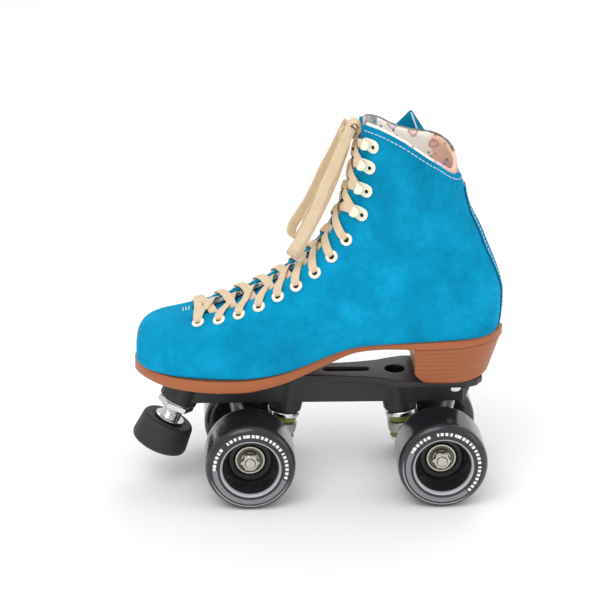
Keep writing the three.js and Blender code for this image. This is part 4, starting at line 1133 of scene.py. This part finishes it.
class SKATE_OT_stitching(bpy.types.Operator):
    """Sew the rows round the collar and down the backstay, and the tack at the throat's foot."""
    bl_idname = "skate.stitching"
    bl_label = "Stitching"

    def execute(self, context):
        pitch = context.scene.skate_boot.stitch_pitch / MM
        parts = []
        for side in (-1, 1):
            parts += self.collar(side, pitch)
            parts += self.backstay(side, pitch)
        parts += self.tack()
        piece("seam_stitches", gathered(parts), "thread")
        return {"FINISHED"}

    def collar(self, side, pitch):
        """A row 3.2 mm below the suede's edge, from the throat to the backstay."""
        path, normals = [], []
        for v in steps(0.03, 0.94, 240):
            turn_of = column_turn(side, v)
            s = top_section(turn_of, suede_edge(v, side) - 3.2)
            turn = turn_of(s)
            path.append(boot_point(s, turn, -0.1))
            normals.append(skin_normal(s, turn))
        return stitch_row(path, normals, pitch)

    def backstay(self, side, pitch):
        path, normals = [], []
        top = backstay_top() - 0.08
        for s in steps(9.75, top - 9.75, 240):
            turn = math.pi + side * backstay_turn(s) * 0.88
            path.append(boot_point(s, turn, -1.35))
            normals.append(skin_normal(s, turn))
        return stitch_row(path, normals, pitch)

    def tack(self):
        """Three short bars across the foot of the throat."""
        parts = []
        for k in range(3):
            s = THROAT_START - 0.1 - 0.09 * k
            line = [boot_point(s, turn_at_width(s, y) if abs(y) > 0.01 else 0.0, -0.15)
                    for y in (-3.2, -1.6, 0, 1.6, 3.2)]
            parts.append(ribbon(line, Vector((1, 0, 0.3)), 0.8, 0.6))
        return parts


# ---------------------------------------------------------------- boot pieces
backstay_half = smooth([(9.3, 7), (10, 8.5), (10.5, 13.5), (10.9, 15), (11.5, 13), (12.3, 9.5), (LAST, 8)])


def backstay_turn(s):
    """Half angle that the backstay covers: it is widest over the heel bone."""
    half, full = section(round(s, 4))[4:6]
    return math.asin((backstay_half(s) / half) ** (full / 2))


def backstay_top():
    return top_section(lambda s: math.pi, 0.2 - BACK_DIP)


class SKATE_OT_upper(bpy.types.Operator):
    """Stretch the suede upper over the last."""
    bl_idname = "skate.upper"
    bl_label = "Suede upper"

    def execute(self, context):
        made = piece("suede_upper", boot_sheet(0, suede_edge), "suede", ["upper"], angle=60)
        thickened(made, SUEDE)
        return {"FINISHED"}


class SKATE_OT_lining(bpy.types.Operator):
    """Line the boot with printed cotton, with a dark band of painted shade along its far edge."""
    bl_idname = "skate.lining"
    bl_label = "Lining"

    def execute(self, context):
        sheet = boot_sheet(LINING, lambda v, side: 1.2, tuck=0)
        made = piece("cotton_lining", sheet, "lining", ["lining"], angle=60)
        thickened(made, CAVITY - LINING)
        self.binding()
        return {"FINISHED"}

    def binding(self):
        """Painted shade: a dark tape along the lining's top edge on the inner side of the ankle only,
        standing for the shadow along it.
        """
        path = []
        for v in steps(0.02, 0.92, 90):
            turn_of = column_turn(1, v)
            s = top_section(turn_of, 1.0, LINING)
            path.append(boot_point(s, turn_of(s), LINING + 0.9))
        tape = ribbon(path, Vector((0, 0.3, 1)), 2.6, 2.2, taper=0.6)
        piece("painted_shade_lining_band", tape, "binding")


class SKATE_OT_tongue(bpy.types.Operator):
    """Lay the padded tongue under the throat."""
    bl_idname = "skate.tongue"
    bl_label = "Tongue"

    def execute(self, context):
        top = bisect(12, LAST, lambda s: boot_point(s, 0, TONGUE).z > PLATE_TOP + 191)
        rows, rings = 90, []
        for i in range(rows + 1):
            s = THROAT_START + 0.1 + (top - THROAT_START - 0.1) * i / rows
            edge = abs(turn_at_width(s, min(24, throat_half(s) + 9)))
            end = min(1.0, (rows - i) / 2 + 0.25)
            rings.append([boot_point(s, edge * bowed(c, 0.7), TONGUE + 1.8 - 1.8 * end * bowed(d, 0.5))
                          for c, d in turns(32)])
        made = piece("padded_tongue", tube(rings), ["suede", "tongue_print"], ["tongue"],
                     angle=70)
        rim = max(v.co.z for v in made.data.vertices) - 2.5 * MM
        for face in made.data.polygons:
            inside = face.normal.dot(Vector((-0.8, 0, 0.6))) < 0.2
            face.material_index = 1 if inside or face.center.z > rim else 0
        return {"FINISHED"}


class SKATE_OT_sole(bpy.types.Operator):
    """Cut the leather sole and stack the heel."""
    bl_idname = "skate.sole"
    bl_label = "Sole and heel"

    edge = staticmethod(smooth([
        (-152, -1, 8), (-150.5, -6.5, 13.5), (-147, -14, 20), (-142, -21, 26.5), (-135, -28.5, 33),
        (-126, -35, 38.5), (-115, -40.5, 42.5), (-103, -44.5, 44.5), (-90, -46.2, 45), (-75, -45.8, 43),
        (-60, -43, 39), (-46, -39.4, 34.6), (-32, -35.8, 30.6), (-18, -33, 28), (-4, -31.4, 27),
        (10, -30.8, 27.2), (25, -31, 28.4), (46, -32, 31), (62, -32.6, 32.2), (78, -31.4, 31.2),
        (90, -28, 28), (100, -22.6, 22.6), (108, -15.4, 15.4), (113, -7.8, 7.8), (115.8, -1.2, 1.2)]))

    def execute(self, context):
        rings = []
        toe, length, count = -152, 267.8, 180
        for i in range(count + 1):
            # the sections crowd together at the toe and the heel
            t = (1 - math.cos(math.pi * i / count)) / 2
            rings.append(self.ring(toe + length * (0.35 * i / count + 0.65 * t)))
        piece("leather_outsole", tube(rings), "sole", ["outsole"], angle=50)
        piece("stacked_heel", tube(self.heel_rings()), "heel", ["heel_block"],
              angle=40)
        return {"FINISHED"}

    def ring(self, x):
        """The sole's section at one place, with eased edges."""
        left, right = self.edge(x, 1), self.edge(x, 2)
        low, high = PLATE_TOP + sole_under(x), PLATE_TOP + sole_over(x)
        out = []
        for y, z, in_y, in_z in ((left, low, 1, 1), (left, high, 1, -1), (right, high, -1, -1),
                                 (right, low, -1, 1)):
            # over the heel the sole's lower edge is trimmed flush with the heel
            most = 0.3 if x > 44 and in_z > 0 else 1.5
            ease = min(most, (high - low) * 0.3, (right - left) * 0.2)
            arc = [(in_y * ease, 0), (in_y * ease * 0.3, in_z * ease * 0.3), (0, in_z * ease)]
            if in_y * in_z < 0:
                arc.reverse()
            out += [Vector((x, y + dy, z + dz)) for dy, dz in arc]
        return out

    def heel_rings(self):
        """Levels of the heel from its foot up to the sole, whose underside its top follows."""
        cut_back = smooth([(0, 13), (1.6, 7.5), (7, 1.6), (12, 1.2), (30, 0)])
        levels = [0, 0.5, 1.2, 2, 3.2, 5, 7, 9, 12, 16, 20, 24, 27, 30]
        breast, back, lean, columns, rings = 48.5, 115.6, 9.6, 40, []
        for h in levels:
            low = 1 - h / 30
            ease = 0.9 * max(0.0, 1 - h / 1.2)
            narrow = 1 - 0.06 * low - ease / 30
            right, left = [], []
            for i in range(columns + 1):
                u = math.sin(math.pi / 2 * i / columns)
                on_sole = breast + (back - breast) * u
                x = on_sole - lean * low * u - ease * u + (cut_back(h) + ease) * (1 - u)
                right.append((x, self.edge(on_sole, 2) * narrow))
                left.append((x, self.edge(on_sole, 1) * narrow))
            ring = []
            for x, y in right + left[::-1]:
                ceiling = PLATE_TOP + sole_under(x) - 0.1
                ring.append(Vector((x, y, min(PLATE_TOP + GAP + h, ceiling))))
            rings.append(ring)
        return rings


class SKATE_OT_trim(bpy.types.Operator):
    """Lay the backstay strip and fold the pull loop."""
    bl_idname = "skate.trim"
    bl_label = "Backstay and pull loop"

    def execute(self, context):
        self.backstay()
        self.pull_loop()
        return {"FINISHED"}

    def backstay(self):
        rings, top = [], backstay_top()
        for s in steps(9.42, top - 9.42, 81):
            half, ring = backstay_turn(s), []
            for c, d in turns(24):
                p = boot_point(s, math.pi + half * bowed(c, 0.5), -0.75 - 0.65 * bowed(d, 0.6))
                ring.append(Vector((p.x, p.y, max(p.z, PLATE_TOP + sole_over(p.x) + 0.1))))
            rings.append(ring)
        piece("suede_backstay", tube(rings), "trim", ["backstay"], angle=60)

    def pull_loop(self):
        """A strap folded to a point, with a piped ridge down its face."""
        middle_x, side = 48.0, 31.2
        foot, top = PLATE_TOP + 161, PLATE_TOP + 186.5
        left_shoulder, shoulder = PLATE_TOP + 176, PLATE_TOP + 170.5
        ridge = 5.6
        rings = []
        for t in steps(0, 1, 33):
            z = foot + (top - foot) * t
            above = max(0.0, (z - shoulder) / (top - shoulder))
            left = -11.5 + 10.6 * max(0.0, (z - left_shoulder) / (top - left_shoulder))
            right = 11.5 - 10.6 * above
            crest = ridge * (1 - above)
            swell = 1.6 * (1 - 0.35 * above)
            face = [(left, side + 1.6), ((left + crest) / 2, side + 0.5), (crest, side - swell * 0.2),
                    ((crest + right) / 2, side + 1.4), (right, side + 3.2)]
            back = [(right, side + 4.6), (crest, side + 4.8), (left, side + 4.2)]
            rings.append([Vector((middle_x + x, y, z)) for x, y in face + back])
        made = piece("folded_pull_loop", tube(rings), "trim", ["pull_loop"], angle=25)
        soft = made.modifiers.new("soft_fold", "SUBSURF")
        soft.levels = soft.render_levels = 2
        line = [Vector((middle_x + ridge * (1 - a), side - 0.75, shoulder + (top - shoulder - 0.6) * a))
                for a in (0, 0.25, 0.5, 0.75, 1.0)]
        cord = ribbon(through(line, 1), Vector((1, 0, 0.3)), 1.3, 1.0)
        piece("pull_loop_ridge_cord", cord, "thread")


# ---------------------------------------------------------------- running gear
def coated(node_name, look):
    """Gives a CAD node its finish and keeps its shape."""
    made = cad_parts[node_name]
    made.data.materials.clear()
    made.data.materials.append(finishes()[look])
    return made


def rounded_casting(node_name, look, voxel_mm, passes):
    """Keeps a CAD node's shape and rounds its corners as a mould or casting has them."""
    made = coated(node_name, look)
    grown = made.modifiers.new("skin", "REMESH")
    grown.mode, grown.voxel_size, grown.use_smooth_shade = "VOXEL", voxel_mm * MM, True
    soft = made.modifiers.new("rounding", "SMOOTH")
    soft.factor, soft.iterations = 0.5, passes


def along_y(x, y, z, side=1):
    """Frame whose Z axis runs along Y, outwards on the given side."""
    return Matrix.Translation((x, y, z)) @ Matrix.Rotation(-side * math.pi / 2, 4, "X")


RING_INBOARD, RING_HEIGHT, KINGPIN_TILT, PIVOT_TILT = 23.8, 42, -10, 20


def truck_frame(end):
    """The rear truck stands as drawn; the front truck is the same turned round."""
    if end == "front":
        return Matrix.Translation((-TRUCK_X, 0, 0)) @ Matrix.Rotation(math.pi, 4, "Z")
    return Matrix.Translation((TRUCK_X, 0, 0))


def kingpin_frame(end):
    return (truck_frame(end) @ Matrix.Translation((-RING_INBOARD, 0, RING_HEIGHT))
            @ Matrix.Rotation(math.radians(KINGPIN_TILT), 4, "Y"))


class SKATE_OT_plate(bpy.types.Operator):
    """Finish the moulded plate, its bolts and the insole."""
    bl_idname = "skate.plate"
    bl_label = "Plate"

    def execute(self, context):
        rounded_casting("plate", "plate", 0.8, 3)
        coated("insole", "insole")
        for i in range(1, 5):
            name = f"mounting_bolt_{i}"
            low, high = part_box(name)
            x = ((low[0] + high[0]) / 2 - BETWEEN_AXLES) / MM
            y = (low[1] + high[1]) / 2 / MM
            foot, top = low[2] / MM, high[2] / MM
            shape = gathered([prism(6, 4.4, foot, foot + 4.2, 0.0, 0.7),
                              disc(2.4, foot, top - 0.2, 24, 0.4),
                              washer(2.5, 5.2, foot + 4.0, foot + 4.6, 32, 0.2)])
            piece(name + "_nut", shape, "chrome", [name],
                  at=Matrix.Translation((x, y, 0)))
        return {"FINISHED"}


class SKATE_OT_trucks(bpy.types.Operator):
    """Finish the hangers and turn the kingpins, cushions, retainers, cups and axles."""
    bl_idname = "skate.trucks"
    bl_label = "Trucks"

    def execute(self, context):
        for end, sign in (("front", -1), ("rear", 1)):
            rounded_casting(end + "_hanger", "cast", 0.55, 7)
            self.kingpin_parts(end, kingpin_frame(end))
            coated(end + "_pivot_cup", "acetal")
            axle = lathe([(0, -51.2), (3.4, -51.2), (3.95, -50.6), (3.95, 50.6), (3.4, 51.2),
                          (0, 51.2)], 40, 0.3)
            piece(end + "_axle_rod", axle, "steel", [end + "_axle"], end + "_truck",
                  at=along_y(sign * TRUCK_X, 0, AXLE_Z))
        return {"FINISHED"}

    def kingpin_parts(self, end, pin):
        """Everything stacked on the kingpin; heights run along it from the ring's middle."""
        ring_top, upper, lower, plate = 4.0, 7.5, 5.5, 1.6
        head = -(ring_top + GAP + lower + GAP + plate + GAP)
        bolt = gathered([prism(6, 7.2, head - 5, head, 0.0, 0.8),
                         lathe([(0, head), (4.7, head), (4.7, 25.8), (4.2, 26), (0, 26)], 32, 0.3)])
        piece(end + "_kingpin_bolt", bolt, "chrome", [end + "_kingpin"], at=pin)
        for name, low, height in ((end + "_upper", ring_top + GAP, upper),
                                  (end + "_lower", -(ring_top + GAP + lower), lower)):
            cushion = lathe([(5.3, low), (9.9, low), (10.35, low + height * 0.25),
                             (10.45, low + height * 0.5), (10.35, low + height * 0.75),
                             (9.9, low + height), (5.3, low + height), (5.3, low)], 64, 0.7)
            piece(name + "_cushion_ring", cushion, "cushion", [name + "_cushion"], at=pin)
        for name, radius, face, way in (
                (end + "_upper", 12.3, ring_top + GAP + upper + GAP, 1),
                (end + "_lower", 11.3, -(ring_top + GAP + lower + GAP), -1)):
            rows = [(5.4, 0), (10.95, 0), (10.95, -2.6), (radius, -2.6), (radius, 0.4),
                    (radius - 1.6, plate), (5.4, plate), (5.4, 0)]
            cup = lathe([(r, face + way * h) for r, h in rows], 72, 0.6)
            piece(name + "_retainer_cup", cup, "chrome", [name + "_retainer"], at=pin)


HANGER_WIDTH = 38.6
BEARING_INNER = HANGER_WIDTH / 2 + 0.6
BEARING_SPAN, BEARING_WIDTH, WHEEL_WIDTH = 24, 7, 40


class SKATE_OT_wheels(bpy.types.Operator):
    """Cast the tyres and turn their hubs, bearings and nuts."""
    bl_idname = "skate.wheels"
    bl_label = "Wheels"

    def execute(self, context):
        sides = context.scene.skate_gear.wheel_sides
        for end, sign in (("front", -1), ("rear", 1)):
            for side_name, side in (("left", -1), ("right", 1)):
                label, body = f"{end}_{side_name}", f"{end}_{side_name}_wheel"
                seat = along_y(sign * TRUCK_X, side * BEARING_INNER, AXLE_Z, side)
                spin = Matrix.Rotation(math.radians(12 if end == "front" else -16), 4, "Z")
                piece(label + "_cast_tyre", self.tyre(sides), "urethane", [label + "_tyre"],
                      body, angle=50, at=seat @ spin)
                piece(label + "_core", self.core(), "core", [label + "_hub"], body, at=seat)
                for place_name, low in (("inner", 0), ("outer", BEARING_SPAN - BEARING_WIDTH)):
                    name, high, sunk = f"{label}_{place_name}", low + BEARING_WIDTH, 0.5
                    races = gathered([washer(9.3, 10.8, low, high, 56, 0.35),
                                      washer(4.3, 6.0, low, high, 40, 0.3)])
                    piece(name + "_races", races, "steel", [name + "_bearing"], body,
                          at=seat)
                    piece(name + "_shield", washer(5.9, 9.4, low + sunk, high - sunk, 56, 0.2),
                          "shield", body=body, at=seat)
                nut = BEARING_SPAN + 2 * GAP
                shape = gathered([prism(6, 6.15, nut + 0.6, nut + 5.5, 4.1, 0.7),
                                  washer(4.2, 6.9, nut, nut + 0.6, 36, 0.15)])
                piece(label + "_nut", shape, "steel", [label + "_axle_nut"],
                      end + "_truck", at=seat)
        return {"FINISHED"}

    def tyre(self, sides):
        """Tread, shoulders and the cone in the outer face, with a lip round its mouth."""
        out = WHEEL_WIDTH + GAP
        rows = [(15.8, 1.2), (24, GAP), (27.5, GAP), (29.8, 0.9), (31.4, 2.4), (32.3, 4.2), (32.5, 6),
                (32.5, out - 6), (32.3, out - 4.2), (31.4, out - 2.4), (29.8, out - 0.9), (27.9, out - 0.1),
                (22.3, out), (21.2, out - 0.3), (20.5, out - 1.3), (19.6, out - 5), (17.0, BEARING_SPAN + 4),
                (15.8, BEARING_SPAN + 0.5), (15.8, 1.2)]
        return lathe(rows, sides, 0.9)

    def core(self):
        """The hub's tube, with a shoulder between the two bearings."""
        inner_seat, outer_seat = BEARING_WIDTH + GAP, BEARING_SPAN - BEARING_WIDTH - GAP
        rows = [(11.3, 1), (15.5, 1), (15.5, BEARING_SPAN + 0.4), (12.5, BEARING_SPAN + 0.4),
                (11.3, BEARING_SPAN - 0.8), (11.3, outer_seat), (9.4, outer_seat), (9.4, inner_seat),
                (11.3, inner_seat), (11.3, 1)]
        return lathe(rows, 72, 0.3)


class SKATE_OT_toe_stop(bpy.types.Operator):
    """Mould the toe stop and turn its stem and jam nut."""
    bl_idname = "skate.toe_stop"
    bl_label = "Toe stop"

    def execute(self, context):
        pitch = context.scene.skate_gear.stop_thread_pitch / MM
        place_of_axis, tilt = (-121, 0, 63), math.radians(23.5)
        axis = Matrix.Translation(place_of_axis) @ Matrix.Rotation(tilt, 4, "Y")
        top = -17
        rubber = lathe([(0, top - 22), (17.5, top - 22), (20.2, top - 20.6), (20.9, top - 18),
                        (19.3, top - 2.2), (18.4, top - 0.6), (17.2, top), (12.6, top), (12.2, top - 0.8),
                        (9.2, top - 0.8), (9.2, top - 2.5), (0, top - 2.5)], 96, 1.2)
        piece("moulded_stop", rubber, "stop", ["toe_stop_rubber"], "toe_stop", at=axis)
        rows = [(0, top - 2.2), (8.9, top - 2.2), (8.9, top + 0.3), (11, top + 0.3), (11, top + 1.8),
                (7.2, top + 1.8)]
        height = top + 2.4
        while height < 13:
            rows += [(7.6, height), (7.0, height + pitch / 2)]
            height += pitch
        rows += [(6.6, 13.6), (0, 13.6)]
        piece("threaded_stem", lathe(rows, 48, 0.15), "chrome", ["toe_stop_stem"],
              "toe_stop", angle=60, at=axis)
        nut = gathered([prism(6, 11.8, -GAP - 6.2, -GAP - 0.6, 8.3, 1.0),
                        washer(8.3, 12.6, -GAP - 0.6, -GAP, 48, 0.2)])
        piece("jam_nut_and_washer", nut, "chrome", ["toe_stop_jam_nut"], at=axis)
        return {"FINISHED"}


# ---------------------------------------------------------------- panel and run
STEPS = (SKATE_OT_stage, SKATE_OT_free_laces, SKATE_OT_knot, SKATE_OT_lacing, SKATE_OT_fasteners,
         SKATE_OT_upper, SKATE_OT_lining, SKATE_OT_tongue, SKATE_OT_sole, SKATE_OT_trim,
         SKATE_OT_stitching, SKATE_OT_plate, SKATE_OT_trucks, SKATE_OT_wheels, SKATE_OT_toe_stop)
GROUPS = {"skate_boot": SkateBoot, "skate_gear": SkateGear, "skate_stage": SkateStage}


class SKATE_PT_panel(bpy.types.Panel):
    """Lists the skate's sizes, colours and steps."""
    bl_idname = "SKATE_PT_panel"
    bl_label = "Quad skate"
    bl_space_type = "VIEW_3D"
    bl_region_type = "UI"
    bl_category = "Skate"

    def draw(self, context):
        for key, group in GROUPS.items():
            for prop in group.__annotations__:
                self.layout.prop(getattr(context.scene, key), prop)
        for step in STEPS:
            self.layout.operator(step.bl_idname)


CLASSES = (*GROUPS.values(), *STEPS, SKATE_PT_panel)


def register():
    for each in CLASSES:
        bpy.utils.register_class(each)
    for key, group in GROUPS.items():
        setattr(bpy.types.Scene, key, bpy.props.PointerProperty(type=group))


def unregister():
    for key in GROUPS:
        delattr(bpy.types.Scene, key)
    for each in reversed(CLASSES):
        bpy.utils.unregister_class(each)


def main():
    register()
    for step in STEPS:
        group, name = step.bl_idname.split(".")
        result = getattr(getattr(bpy.ops, group), name)()
        if result != {"FINISHED"}:
            raise RuntimeError(f"{step.bl_label} did not finish")


if __name__ == "__main__":
    main()
